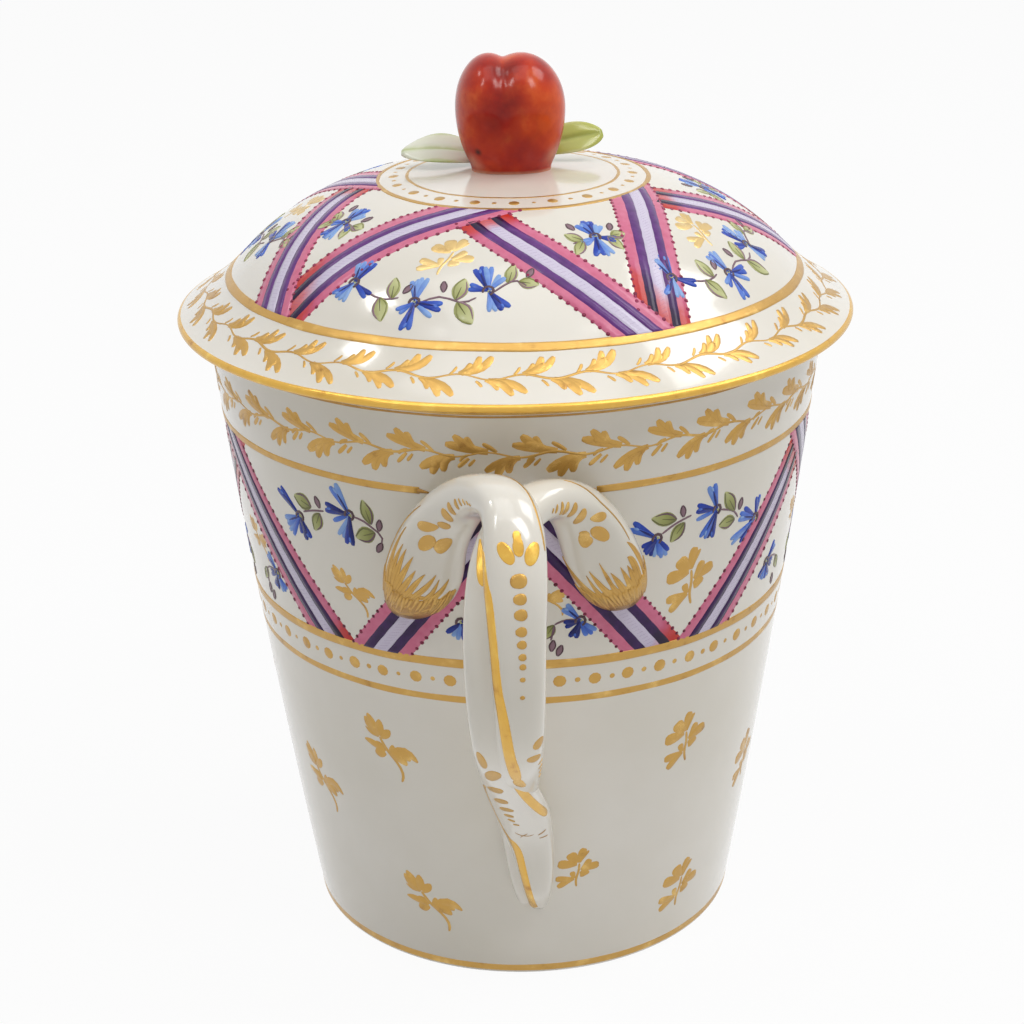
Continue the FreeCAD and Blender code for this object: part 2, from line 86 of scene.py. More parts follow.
# The fruit on the cover. A lobe is its middle to the side and its half width
FRUIT_TOP = cover_high.z / MM
FRUIT_RISE = 7.55
FRUIT_HANG = 9.6
FRUIT_DEPTH = 6.9
LOBES = ((-3.1, 4.75), (1.3, 6.1))
FRUIT_MIDDLE = -0.35
WHOLE_FRUIT = (-0.2, 7.55)
WHOLE_HANG = 11.3
WHOLE_DEPTH = 6.1
CLEFT_SOFTNESS = 0.22
CLEFT_FADE = 0.9
FOOT_FLARE = 0.10
FLARE_RISE = 0.45
FOOT_PINCH = 0.22
PINCH_RISE = 2.0

# The stalk and the leaves
STALK_LENGTH = 8.4
STALK_RADIUS = 1.45
STALK_END = 1.2
LEAF_HOLD = CROWN_TOP + 0.55
LEAF_THICKNESS = 1.0
LEAF_HOLLOW = 0.4
VEIN_DEPTH = 0.28
VEIN_WIDTH = 0.35

# Paint
LAYER = 0.016
SINK = 0.03
TURN_STEPS = 288
rng = np.random.default_rng(7)


# Curves


def spline(knots, values):
    """A cubic curve through values at the knots, straight at both ends, as a function."""
    knots = np.asarray(knots, float)
    values = np.asarray(values, float)
    flat = values.ndim == 1
    values = values.reshape(len(knots), -1)
    step = np.diff(knots)
    slope = np.diff(values, axis=0) / step[:, None]
    count = len(knots)
    matrix = np.eye(count)
    middle = np.arange(1, count - 1)
    matrix[middle, middle - 1] = step[:-1]
    matrix[middle, middle] = 2 * (step[:-1] + step[1:])
    matrix[middle, middle + 1] = step[1:]
    right = np.zeros_like(values)
    right[1:-1] = 6 * np.diff(slope, axis=0)
    bend = np.linalg.solve(matrix, right)

    def at(place):
        place = np.asarray(place, float)
        cell = np.clip(np.searchsorted(knots, place) - 1, 0, count - 2)
        after = ((place - knots[cell]) / step[cell])[..., None]
        before = 1 - after
        cube = (before**3 - before) * bend[cell] + (after**3 - after) * bend[cell + 1]
        found = before * values[cell] + after * values[cell + 1] + cube * step[cell][..., None] ** 2 / 6
        return found[..., 0] if flat else found

    return at


def eased(steps):
    """Shares from 0 to 1, closer together at both ends."""
    return (1 - np.cos(np.linspace(0, math.pi, steps))) / 2


def run_along(points):
    """The way along a run of points, from 0."""
    return np.r_[0, np.cumsum(np.linalg.norm(np.diff(points, axis=0), axis=1))]


def smooth_path(points, steps):
    """A smooth run of places through a few points, closer together at its two ends."""
    points = np.asarray(points, float)
    share = eased(steps)
    if len(points) == 2:
        return points[0] + share[:, None] * (points[1] - points[0])
    knots = run_along(points)
    return spline(knots, points)(share * knots[-1])


def arc_points(centre, radius, start, end, steps):
    """Places on an arc in the section plane. Angles run from the outward direction, upwards."""
    angle = np.radians(np.linspace(start, end, steps))
    return np.stack([centre[0] + radius * np.cos(angle), centre[1] + radius * np.sin(angle)], -1)


def arc_between(start, end, radius, bulge, steps):
    """An arc from start to end that swells to the left of the way where bulge is 1, else right."""
    start, end = np.array(start), np.array(end)
    half = (end - start) / 2
    side = np.array([-half[1], half[0]]) / np.hypot(*half) * bulge
    centre = start + half - side * math.sqrt(radius**2 - half @ half)
    first, last = (math.degrees(math.atan2(*(each - centre)[::-1])) for each in (start, end))
    if (last - first) * bulge > 0:
        last -= 360 * bulge
    return arc_points(centre, radius, first, last, steps)


def unit(vectors):
    """Vectors brought to a length of 1."""
    return vectors / np.linalg.norm(vectors, axis=-1, keepdims=True)


# Surfaces that are painted on


class Turned:
    """A surface turned round the axis. u is the angle and v runs along its profile.

    rise is 1 where v grows upwards and -1 where it grows down the surface.
    """

    def __init__(self, run, radius, height, rise):
        self.run, self.rise = run, rise
        out, up = np.gradient(height, run) * rise, -np.gradient(radius, run) * rise
        self.profile = radius, height, out, up

    def at(self, u, v):
        """Places and outward directions."""
        radius, height, out, up = (np.interp(v, self.run, each) for each in self.profile)
        length = np.hypot(out, up)
        out, up = out / length, up / length
        aside, back = np.sin(np.radians(u)), -np.cos(np.radians(u))
        place = np.stack([radius * aside, radius * back, height], -1)
        return place, np.stack([out * aside, out * back, up], -1)

    def scale(self, u, v):
        """Millimetres for a unit of u and for a unit of v."""
        radius = np.interp(v, self.run, self.profile[0])
        return radius * math.pi / 180, np.ones_like(radius)


class Strap:
    """A strap of the handle: ovals carried along a smooth line and turned by their lean.

    u is the angle round the oval, with 0 at its right edge and 90 on the outside of the loop,
    and v is the way along the middle line in millimetres. The oval's edge lies at the half
    width times the cosine and the half thickness times the sine, each to a power under 1.
    """

    rise = 1
    power = 2 / 2.4

    def __init__(self, stations):
        stations = np.array(stations, float)
        side, stand_off, height = stations[:, :3].T
        out = np.sqrt((beaker_radius(height) + stand_off) ** 2 - side**2)
        centre = np.stack([side, -out, height], -1)
        knots = run_along(centre)
        self.length = knots[-1]
        self.centre = spline(knots, centre)
        self.half = spline(knots, stations[:, 3:5])
        self.lean = spline(knots, stations[:, 5:])

    def place(self, u, v):
        """Places on the strap, without their outward directions."""
        step = 0.05
        along = unit(self.centre(v + step) - self.centre(v - step))
        across = self.lean(v)
        across = unit(across - (across * along).sum(-1, keepdims=True) * along)
        outward = np.cross(along, across)
        half = self.half(v)
        cosine, sine = np.cos(np.radians(u)), np.sin(np.radians(u))
        x = np.sign(cosine) * np.abs(cosine) ** self.power * half[..., 0]
        y = np.sign(sine) * np.abs(sine) ** self.power * half[..., 1]
        return self.centre(v) + across * x[..., None] + outward * y[..., None]

    def ways(self, u, v):
        """How a place moves for a unit of u and for a unit of v."""
        u, v = np.broadcast_arrays(np.asarray(u, float), np.asarray(v, float))
        round_way = self.place(u + 0.5, v) - self.place(u - 0.5, v)
        long_way = (self.place(u, v + 0.1) - self.place(u, v - 0.1)) / 0.2
        return round_way, long_way

    def at(self, u, v):
        """Places and outward directions."""
        return self.place(*np.broadcast_arrays(u, v)), unit(np.cross(*self.ways(u, v)))

    def scale(self, u, v):
        """Millimetres for a unit of u and for a unit of v."""
        return [np.linalg.norm(way, axis=-1) for way in self.ways(u, v)]


def local_scale(surface, u, v):
    """Millimetres for a unit of u and of v at one place."""
    return np.array([float(each) for each in surface.scale(np.float64(u), np.float64(v))])


# Meshes


def in_scene(name, data):
    """An object of a mesh, lamp or camera, linked into the scene."""
    thing = bpy.data.objects.new(name, data)
    bpy.context.scene.collection.objects.link(thing)
    return thing


def make_piece(name, points, corners, sizes, smooth, material, uvs=None, tones=None, layer="brush"):
    """Writes a mesh from whole arrays: places in millimetres, face corners and face sizes."""
    mesh = bpy.data.meshes.new(name)
    mesh.vertices.add(len(points))
    mesh.vertices.foreach_set("co", (np.asarray(points) * MM).astype(np.float32).ravel())
    mesh.loops.add(len(corners))
    mesh.loops.foreach_set("vertex_index", np.asarray(corners, np.int32))
    mesh.polygons.add(len(sizes))
    starts = np.r_[0, np.cumsum(sizes)[:-1]]
    mesh.polygons.foreach_set("loop_start", starts.astype(np.int32))
    mesh.polygons.foreach_set("use_smooth", np.asarray(smooth, bool))
    if uvs is not None:
        uv_layer = mesh.uv_layers.new(name=layer)
        uv_layer.uv.foreach_set("vector", np.asarray(uvs)[corners].astype(np.float32).ravel())
    if tones is not None:
        tone = mesh.attributes.new("tone", "FLOAT", "POINT")
        tone.data.foreach_set("value", np.asarray(tones, np.float32))
    mesh.update(calc_edges=True)
    mesh.validate()
    mesh.materials.append(material)
    piece = in_scene(name, mesh)
    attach(piece, "root")
    return piece


def ring_piece(name, rings, material, poles=None, uvs=None):
    """Rings of places joined to a tube and closed by a pole at each end, as a smooth piece.

    Faces point outwards where the rings run against the clock, seen from the end pole. Where no
    poles are given, they are the middles of the first and the last ring.
    """
    count, across = rings.shape[:2]
    if poles is None:
        poles = rings[0].mean(0), rings[-1].mean(0)
    points = np.concatenate([rings.reshape(-1, 3), poles])
    place = np.arange(count * across).reshape(count, across)
    beside = np.roll(place, -1, axis=1)
    quads = np.stack([place[:-1], beside[:-1], beside[1:], place[1:]], -1).reshape(-1, 4)
    first = np.full(across, count * across)
    start = np.stack([first, beside[0], place[0]], -1)
    end = np.stack([first + 1, place[-1], beside[-1]], -1)
    corners = np.concatenate([quads.ravel(), start.ravel(), end.ravel()])
    sizes = np.concatenate([np.full(len(quads), 4), np.full(2 * across, 3)])
    return make_piece(name, points, corners, sizes, np.ones(len(sizes)), material, uvs, layer="leaf")


def turn_piece(name, section, material):
    """A section from the axis back to the axis, turned right round."""
    angle = np.radians(np.arange(TURN_STEPS) * 360 / TURN_STEPS)
    radius, height = section[1:-1, 0][:, None], section[1:-1, 1][:, None]
    rings = np.stack([radius * np.sin(angle), -radius * np.cos(angle), height + 0 * angle], -1)
    return ring_piece(name, rings, material, [(0, 0, section[end, 1]) for end in (0, -1)])


class Coat:
    """Paint of one kind on one piece, gathered into one mesh of thin closed patches."""

    def __init__(self):
        self.points, self.corners, self.sizes, self.smooth = [], [], [], []
        self.uvs, self.tones = [], []
        self.count = 0

    def lay(self, surface, u, v, lift, tone=0.5):
        """Adds a patch over a grid of places. Its inside is raised by lift and its rim is sunk."""
        rows, columns = u.shape
        place, normal = surface.at(u, v)
        raised = np.full(u.shape, 1.0) * lift
        raised[:, 0] = raised[:, -1] = raised[0] = raised[-1] = -SINK
        place = place + normal * raised[..., None]
        index = np.arange(rows * columns).reshape(rows, columns)
        top = np.stack([index[:-1, :-1], index[:-1, 1:], index[1:, 1:], index[1:, :-1]], -1)
        back = np.stack([index[:-1, 0], index[1:, 0], index[1:, -1], index[:-1, -1]], -1)
        faces = [top.reshape(-1, 4), back, index[0][None, ::-1], index[-1][None]]
        row, column = rows // 2, columns // 2
        middle = place[row, column]
        turned = np.cross(middle - place[row, column - 1], middle - place[row - 1, column])
        if turned @ normal[row, column] < 0:
            faces = [face[:, ::-1] for face in faces]
        for face in faces:
            self.corners.append(face.ravel() + self.count)
            self.sizes.append(np.full(len(face), face.shape[1]))
        self.smooth.append(np.arange(sum(len(face) for face in faces)) < len(faces[0]))
        along, across = np.meshgrid(np.linspace(0, 1, rows), np.linspace(0, 1, columns), indexing="ij")
        self.points.append(place.reshape(-1, 3))
        self.uvs.append(np.stack([along, across], -1).reshape(-1, 2))
        self.tones.append(np.broadcast_to(tone, u.shape).ravel())
        self.count += rows * columns

    def stroke(self, surface, path, width, lift, tone=0.5, columns=5):
        """A brush stroke along a run of places (u, v), with its width in millimetres at each."""
        u, v = path[:, 0], path[:, 1]
        across, along = surface.scale(u, v)
        way_u, way_v = np.gradient(u) * across, np.gradient(v) * along
        length = np.hypot(way_u, way_v) + 1e-9
        side_u, side_v = -way_v / length / across, way_u / length / along
        share = np.r_[-0.5, np.linspace(-0.43, 0.43, columns - 2), 0.5] * np.asarray(width)[:, None]
        grid_u = u[:, None] + side_u[:, None] * share
        grid_v = v[:, None] + side_v[:, None] * share
        self.lay(surface, grid_u, grid_v, lift, tone if np.isscalar(tone) else tone[:, None])

    def brush(self, surface, path, width, shape, lift, tone=0.5, fade=0.12, columns=5):
        """A stroke of a shape, its tone changing by fade from root to tip."""
        share = eased(len(path))
        self.stroke(surface, path, width * shape(share), lift, tone + fade * (share - 0.5), columns)

    def dots(self, surface, u, v, radius, lift, tone=0.5):
        """Adds round dots. Each has a raised middle and ring, and a rim sunk in the glaze."""
        sides = 10
        count = len(u)
        across, along = surface.scale(u, v)
        turn = np.arange(sides) * 2 * math.pi / sides
        share = np.r_[0, np.full(sides, 0.85), np.full(sides, 1.0)]
        angle = np.r_[0, turn, turn]
        x = radius[:, None] * share * np.cos(angle) / across[:, None]
        y = radius[:, None] * share * np.sin(angle) / along[:, None] * surface.rise
        place, normal = surface.at(np.asarray(u)[:, None] + x, np.asarray(v)[:, None] + y)
        dome = np.r_[1.3, np.ones(sides), np.zeros(sides)]
        raised = np.broadcast_to(np.asarray(lift)[..., None], (count, 1)) * dome
        raised = raised - SINK * (share == 1.0)
        place = place + normal * raised[..., None]
        ring, beyond = np.arange(sides) + 1, np.roll(np.arange(sides), -1) + 1
        middle = np.stack([0 * ring, ring, beyond], -1)
        rim = np.stack([ring, ring + sides, beyond + sides, beyond], -1)
        one = np.concatenate([middle.ravel(), rim.ravel(), (ring + sides)[::-1]])
        base = self.count + np.arange(count) * len(share)
        self.corners.append((base[:, None] + one).ravel())
        self.sizes.append(np.tile(np.r_[np.full(sides, 3), np.full(sides, 4), sides], count))
        self.smooth.append(np.tile(np.r_[np.ones(2 * sides), 0].astype(bool), count))
        self.points.append(place.reshape(-1, 3))
        uv = np.stack([share * np.cos(angle), share * np.sin(angle)], -1) / 2 + 0.5
        self.uvs.append(np.tile(uv, (count, 1)))
        self.tones.append(np.broadcast_to(np.asarray(tone)[..., None], (count, len(share))).ravel())
        self.count += count * len(share)

    def finish(self, name, material):
        """Turns everything laid so far into a piece."""
        gathered = self.points, self.corners, self.sizes, self.smooth, self.uvs, self.tones
        points, corners, sizes, smooth, uvs, tones = (np.concatenate(each) for each in gathered)
        return make_piece(name, points, corners, sizes, smooth, material, uvs, tones)


# Shapes of brush strokes: width along the stroke, from 0 at its root to 1 at its tip


def oval(t):
    """The height of a half circle."""
    return np.sqrt(np.maximum(1 - (2 * t - 1) ** 2, 0)) + 0.05


def leaf(t):
    """A sine to a power under 1, widest a little before the middle."""
    return np.sin(math.pi * t**0.9) ** 0.85 + 0.05


def line(t):
    """Even, with short round ends."""
    return np.sqrt(np.maximum(1 - (2 * t - 1) ** 10, 0)) * 0.95 + 0.05


def taper(t):
    """Round at its root and falling evenly to a quarter."""
    return (1 - 0.75 * t) * np.sqrt(np.maximum(1 - (1 - t) ** 12, 0)) + 0.05


def streak(t):
    """Round at its root and thinning to a point by a power of the way."""
    return np.sqrt(np.maximum(1 - (1 - t) ** 8, 0)) * np.maximum(1 - t**2.4, 0) + 0.05


def swelling(root, gain, power, end, blunt=0.5, least=0.05):
    """A stroke that swells from its root by a power of the way and closes at its tip."""
    return lambda t: (root + gain * t**power) * np.maximum(1 - t**end, 0) ** blunt + least


drop = swelling(0.12, 0.95, 1.1, 6, least=0.04)
petal = swelling(0.25, 0.85, 0.8, 5)
spike = swelling(0.3, 0.8, 0.6, 3, 0.9, 0.06)
club = swelling(0.42, 0.62, 0.7, 4)


class Spot:
    """A place on a surface where a motif is painted in its own millimetres, x right and y up."""

    def __init__(self, surface, u, v, size=1.0, turn=0.0, flip=1):
        self.surface, self.u, self.v, self.size, self.flip = surface, u, v, size, flip
        self.cosine, self.sine = math.cos(math.radians(turn)), math.sin(math.radians(turn))
        self.across, self.along = local_scale(surface, u, v)

    def mark(self, coat, points, width, shape, lift, tone=0.5, steps=9, columns=5):
        """One brush mark through points of the motif, lifted by a number of layers of paint."""
        local = smooth_path(points, steps) * self.size * [self.flip, 1]
        x = local[:, 0] * self.cosine - local[:, 1] * self.sine
        y = local[:, 0] * self.sine + local[:, 1] * self.cosine
        path = np.stack([self.u + x / self.across, self.v + self.surface.rise * y / self.along], -1)
        width = width * self.size
        coat.brush(self.surface, path, width, shape, lift * LAYER, tone, columns=columns)


# The beaker and its handle


def beaker_radius(height):
    """Outside of the beaker: a straight taper and a slight swell that is nil at both ends."""
    share = np.asarray(height) / LIP
    straight = BASE_RADIUS + (LIP_RADIUS - BASE_RADIUS) * share
    return straight + 4 * SIDE_BOW * share * (1 - share)


def beaker_section():
    """From the middle of the recess under the bottom, round the outside and down the inside."""
    inner_bottom = FOOT_HEIGHT + BOTTOM
    foot_inside = BASE_RADIUS - FOOT_WIDTH
    side = np.linspace(EDGE_ROUND, LIP - EDGE_ROUND, 110)
    outside = np.stack([beaker_radius(side), side], -1)
    inner_side = np.linspace(LIP - EDGE_ROUND, inner_bottom + INNER_ROUND, 60)
    inside = np.stack([beaker_radius(inner_side) - WALL, inner_side], -1)
    foot_outside = outside[0, 0] - EDGE_ROUND
    lip_outside = outside[-1, 0] - EDGE_ROUND
    lip_inside = inside[0, 0] + EDGE_ROUND
    inner_centre = inside[-1, 0] - INNER_ROUND
    return np.concatenate([
        [(0, FOOT_HEIGHT), (foot_inside * 0.5, FOOT_HEIGHT), (foot_inside - 0.2, FOOT_HEIGHT)],
        [(foot_inside, FOOT_HEIGHT - 0.2), (foot_inside, 0.15), (foot_inside + 0.15, 0)],
        [(foot_inside + 0.6, 0), (foot_outside - 0.3, 0)],
        arc_points((foot_outside, EDGE_ROUND), EDGE_ROUND, -90, -6, 6),
        outside,
        arc_points((lip_outside, LIP - EDGE_ROUND), EDGE_ROUND, 6, 90, 6),
        arc_points((lip_inside, LIP - EDGE_ROUND), EDGE_ROUND, 90, 172, 6),
        inside,
        arc_points((inner_centre, inner_bottom + INNER_ROUND), INNER_ROUND, -4, -90, 12),
        [(inner_centre * 0.6, inner_bottom), (0, inner_bottom)],
    ])


# Stations of the two straps: distance to the side, stand-off from the beaker's side, height,
# half width, half thickness, and the lean of the width to the side, back and up
LEFT_STRAP = (
    (-15.4, -1.2, 59.3, 1.6, 1, 0.92, 0.1, -0.38), (-14.6, 0.5, 61.6, 3.3, 1.8, 0.9, 0.1, -0.42),
    (-12.9, 1.7, 65.6, 4.9, 2.5, 0.88, 0.1, -0.45), (-11.4, 2.4, 71.2, 4.7, 2.7, 0.8, 0.15, -0.57),
    (-8.8, 4.4, 77.1, 3.9, 2.7, 0.7, 0.4, -0.55), (-4.8, 9, 81.9, 3.4, 2.5, 0.68, 0.66, -0.25),
    (-1.5, 14.6, 82.3, 3.5, 2.3, 0.85, 0.5, 0), (-0.7, 20, 77.4, 3.8, 2.2, 1, 0.1, 0),
    (-0.6, 23.2, 69, 3.5, 2.2, 1, 0, 0), (-0.5, 23.4, 61, 3.25, 2.2, 1, 0, 0),
    (-0.7, 20.3, 52, 3.2, 2.2, 1, 0, 0), (-1.1, 13.6, 43, 3.1, 2.1, 1, 0, 0),
    (-1.3, 6, 34.5, 2.9, 1.9, 1, 0, 0), (-0.9, 1.9, 26.5, 2.3, 1.5, 1, 0, 0),
    (-0.3, 0.4, 17, 1.6, 1.1, 1, 0, 0), (0.1, -0.9, 12.8, 1.1, 0.8, 1, 0, 0),
)
RIGHT_STRAP = (
    (13.5, -1.2, 60.4, 1.6, 1, 0.92, -0.1, 0.38), (12.9, 0.5, 62.6, 3.3, 1.8, 0.9, -0.1, 0.42),
    (11.6, 1.7, 66.5, 4.6, 2.5, 0.88, -0.1, 0.45), (9.9, 2.2, 71.2, 4.7, 2.7, 0.8, -0.15, 0.57),
    (7.6, 3.6, 76.6, 3.9, 2.7, 0.7, -0.4, 0.55), (3.8, 6.6, 80.2, 3.3, 2.4, 0.68, -0.66, 0.25),
    (-0.4, 11.2, 79.5, 3.1, 2.2, 0.85, -0.5, 0), (-3.1, 17, 75.3, 3.1, 2.1, 1, -0.1, 0),
    (-4, 21.2, 68, 3.1, 2.1, 1, 0, 0), (-3.9, 22, 60, 3.1, 2.1, 1, 0, 0),
    (-3.4, 19.6, 51.5, 3.1, 2.1, 1, 0, 0), (-2.5, 14.2, 43.5, 3.1, 2.1, 1, 0, -0.15),
    (-0.5, 7.8, 34.5, 3.6, 2.2, 1, 0, -0.25), (0.9, 3.4, 26, 3, 2, 1, 0, -0.1),
    (1.7, 1.4, 17, 2, 1.5, 1, 0, 0), (1.8, -0.9, 12.2, 1.2, 0.9, 1, 0, 0),
)


def strap_piece(name, strap, material):
    """A strap as rings of places, closed by a pole inside the beaker's wall at each end."""
    way = np.linspace(0, strap.length, 180)
    angle = np.linspace(0, 360, 48, endpoint=False)
    return ring_piece(name, strap.place(*np.meshgrid(angle, way)), material)


# The cover


def dome_run(depth, steps):
    """The crown and the shoulder's arcs at a depth under the outer face, from the axis out."""
    crown_centre = (0, CROWN_TOP - CROWN_ARC)
    crown = arc_points(crown_centre, CROWN_ARC - depth, 90, 90 - CROWN_ANGLE, steps)
    turn = math.radians(CROWN_ANGLE)
    offset = CROWN_ARC - SHOULDER_ARC
    centre = (offset * math.sin(turn), crown_centre[1] + offset * math.cos(turn))
    shoulder = arc_points(centre, SHOULDER_ARC - depth, 90 - CROWN_ANGLE, 90 - NECK_ANGLE, 2 * steps)
    return np.concatenate([crown, shoulder[1:]])


def cover_outside():
    """The cover's face from the axis to the lower edge of its rounded rim."""
    dome = dome_run(0, 40)
    edge = BRIM_RADIUS - RIM_SWELL
    brim = arc_between(dome[-1], (edge, LIP + RIM_TOP), BRIM_SWEEP, -1, 30)
    half = (RIM_TOP - RIM_BOTTOM) / 2
    roll = (half**2 + RIM_SWELL**2) / (2 * RIM_SWELL)
    rim = arc_between((edge, LIP + RIM_TOP), (edge, LIP + RIM_BOTTOM), roll, 1, 12)
    return np.concatenate([dome, brim[1:], rim[1:]])


def cover_section():
    """From the hollow's top out to the locating ring, round the rim and back over the dome."""
    ring = LIP_RADIUS - WALL - RING_CLEARANCE
    low = ring - RING_DRAFT
    inner = low - RING_WIDTH
    seat = LIP_RADIUS + SEAT_OVERHANG
    corner_height = LIP - RING_DEPTH + EDGE_ROUND
    return np.concatenate([
        dome_run(COVER_WALL, 30),
        [(inner + 0.1, corner_height + 1.0)],
        arc_points((inner + EDGE_ROUND, corner_height), EDGE_ROUND, 180, 270, 6),
        arc_points((low - EDGE_ROUND, corner_height), EDGE_ROUND, 270, 360, 6),
        [(ring - 0.05, LIP - 0.4), (ring, LIP), (ring + 0.4, LIP)],
        [(seat - 0.4, LIP), (seat, LIP + 0.02)],
        cover_outside()[::-1],
    ])


def fruit_reach(way):
    """How far the fruit's skin is from its middle in the directions given.

    Each lobe is an egg with its widest place at the same height, and the skin blends the two
    lobes' distances, so that the cleft between them is soft. Downwards the two run into one
    wide egg, and the cleft is lost.
    """
    reach = []
    eggs = [(*lobe, FRUIT_HANG, FRUIT_DEPTH) for lobe in LOBES]
    for side, half_width, hang, depth in (*eggs, (*WHOLE_FRUIT, WHOLE_HANG, WHOLE_DEPTH)):
        offset = FRUIT_MIDDLE - side
        tall = np.where(way[..., 2] > 0, FRUIT_RISE, hang)
        a = (way[..., 0] / half_width) ** 2 + (way[..., 1] / depth) ** 2 + (way[..., 2] / tall) ** 2
        b = 2 * way[..., 0] * offset / half_width**2
        c = (offset / half_width) ** 2 - 1
        reach.append((-b + np.sqrt(b**2 - 4 * a * c)) / (2 * a))
    cleft = CLEFT_SOFTNESS * np.log(sum(np.exp(lobe / CLEFT_SOFTNESS) for lobe in reach[:2]))
    low = np.clip(0.5 - way[..., 2] / CLEFT_FADE, 0, 1)
    low = low * low * (3 - 2 * low)
    return cleft * (1 - low) + reach[2] * low


def fruit_piece(material):
    """The fruit: its reach in every direction, less deep low down and flared above the crown."""
    around = np.radians(np.arange(144) * 2.5)
    rising = np.radians(np.linspace(-68, 88.5, 90))
    turn, rise = np.meshgrid(around, rising)
    way = np.stack([np.cos(rise) * np.sin(turn), -np.cos(rise) * np.cos(turn), np.sin(rise)], -1)
    middle = np.array([FRUIT_MIDDLE, 0, FRUIT_TOP - FRUIT_RISE])
    rings = way * fruit_reach(way)[..., None]
    over = np.maximum(rings[..., 2] + middle[2] - CROWN_TOP, 0)
    rings[..., :2] *= (1 + FOOT_FLARE * np.exp(-over / FLARE_RISE))[..., None]
    rings[..., 1] *= 1 - FOOT_PINCH * np.exp(-over / PINCH_RISE)
    ring_piece("fruit", rings + middle, material)


def leaf_piece(name, hold, root, tip, face, width, arch, blunt, material):
    """A modelled leaf: a pointed oval that is arched along its length and hollowed across it.

    The half width is the sine of the way along, itself to the power blunt, to a power under 1. Its
    stem carries the first oval back along a line to hold, inside the stalk.
    """
    hold, root, tip, face = (np.array(each, float) for each in (hold, root, tip, face))
    length = np.linalg.norm(tip - root)
    along = unit(tip - root)
    face = unit(face - (face @ along) * along)
    across = np.cross(face, along)
    way = (1 - np.cos(np.linspace(0.03, 1, 60) * math.pi)) / 2
    t, angle = np.meshgrid(way / way[-1], np.radians(np.arange(48) * 7.5), indexing="ij")
    half = width / 2 * np.sin(math.pi * np.clip(0.04 + 0.94 * t**blunt, 0, 1)) ** (0.8 / blunt)
    side = np.cos(angle) * half
    shell = np.sin(angle) * LEAF_THICKNESS / 2 * np.minimum(1, half / LEAF_THICKNESS)
    vein = VEIN_DEPTH * np.exp(-((side / VEIN_WIDTH) ** 2)) * np.sin(math.pi * t)
    lift = arch * np.sin(math.pi * t) + LEAF_HOLLOW * (side / (width / 2)) ** 2 + shell
    lift -= np.where(np.sin(angle) > 0, vein, 0)
    rings = root + along * (t * length)[..., None] + across * side[..., None] + face * lift[..., None]
    stem = np.linspace(1, 0, 8, endpoint=False)
    rings = np.concatenate([rings[0] + (hold - root) * stem[:, None, None], rings])
    t, side = (np.concatenate([np.repeat(each[:1], len(stem), axis=0), each]) for each in (t, side))
    uvs = np.stack([t, side / width + 0.5], -1).reshape(-1, 2)
    ring_piece(name, rings, material, uvs=np.concatenate([uvs, [[0, 0.5], [1, 0.5]]]))


def stalk_piece(material):
    """The short stalk behind the fruit: a slightly tapering round bar with a domed cut end."""
    shaft = np.linspace(2.0, STALK_LENGTH, 24)
    end = np.radians(np.linspace(10, 88, 8))
    way = np.r_[shaft, STALK_LENGTH + STALK_END / 2 * np.sin(end)][:, None]
    radius = np.r_[STALK_RADIUS - 0.03 * shaft, STALK_END * np.cos(end)][:, None]
    turn = np.radians(np.arange(32) * 11.25)
    height = CROWN_TOP + 0.75 - 0.015 * way**1.5
    x, z = FRUIT_MIDDLE + radius * np.cos(turn), height - radius * np.sin(turn)
    ring_piece("stalk", np.stack([x, way + 0 * turn, z], -1), material)


# Materials


def linear(red, green, blue):
    """A colour given as it looks on a screen, 0 to 255, as the shader wants it."""
    share = np.array([red, green, blue]) / 255
    return tuple(np.where(share < 0.04045, share / 12.92, ((share + 0.055) / 1.055) ** 2.4))


def tints(*rows):
    """Stops of a colour ramp from rows of a place and a colour as it looks on a screen."""
    return [(place, linear(*colour)) for place, *colour in rows]


def put(tree, value, socket):
    """Links an output to a socket, or sets the socket to a plain value."""
    if isinstance(value, bpy.types.NodeSocket):
        tree.links.new(value, socket)
    else:
        socket.default_value = value


def settle(tree, node, **values):
    """Gives a node's inputs and settings their values by name."""
    for name, value in values.items():
        label = name.replace("_", " ").title()
        if label in node.inputs:
            put(tree, value, node.inputs[label])
        else:
            setattr(node, name, value)
    return node


def add(tree, kind, **values):
    """A node of a kind, with its inputs and settings given by name."""
    return settle(tree, tree.nodes.new("ShaderNode" + kind), **values)


def calc(tree, operation, *values, **settings):
    """A Math node over outputs and numbers."""
    node = add(tree, "Math", operation=operation, **settings)
    for value, socket in zip(values, node.inputs):
        put(tree, value, socket)
    return node.outputs[0]


def new_material(name, base, roughness, metallic=0.0, specular=0.5, coat=0.0, coat_roughness=0.03):
    """A material with its principled shader set, and the shader and node tree returned."""
    material = bpy.data.materials.new(name)
    material.use_nodes = True
    tree = material.node_tree
    shader = tree.nodes["Principled BSDF"]
    settle(tree, shader, base_color=(*base, 1), roughness=roughness, metallic=metallic)
    settle(tree, shader, coat_weight=coat, coat_roughness=coat_roughness)
    shader.inputs["Specular IOR Level"].default_value = specular
    return material, tree, shader


def noise(tree, scale, detail=3.0, stretch=None, source="Object"):
    """A noise on object coordinates, or on another output of Texture Coordinate."""
    output = add(tree, "TexCoord").outputs[source]
    if stretch:
        output = add(tree, "Mapping", vector=output, scale=stretch).outputs["Vector"]
    return add(tree, "TexNoise", vector=output, scale=scale, detail=detail).outputs["Fac"]


def ramp(tree, source, stops):
    """A colour ramp over a value: each stop is a place and a colour."""
    node = add(tree, "ValToRGB", fac=source)
    elements = node.color_ramp.elements
    while len(elements) < len(stops):
        elements.new(0.5)
    for element, (place, colour) in zip(elements, stops):
        element.position = place
        element.color = (*colour, 1)
    return node.outputs["Color"]


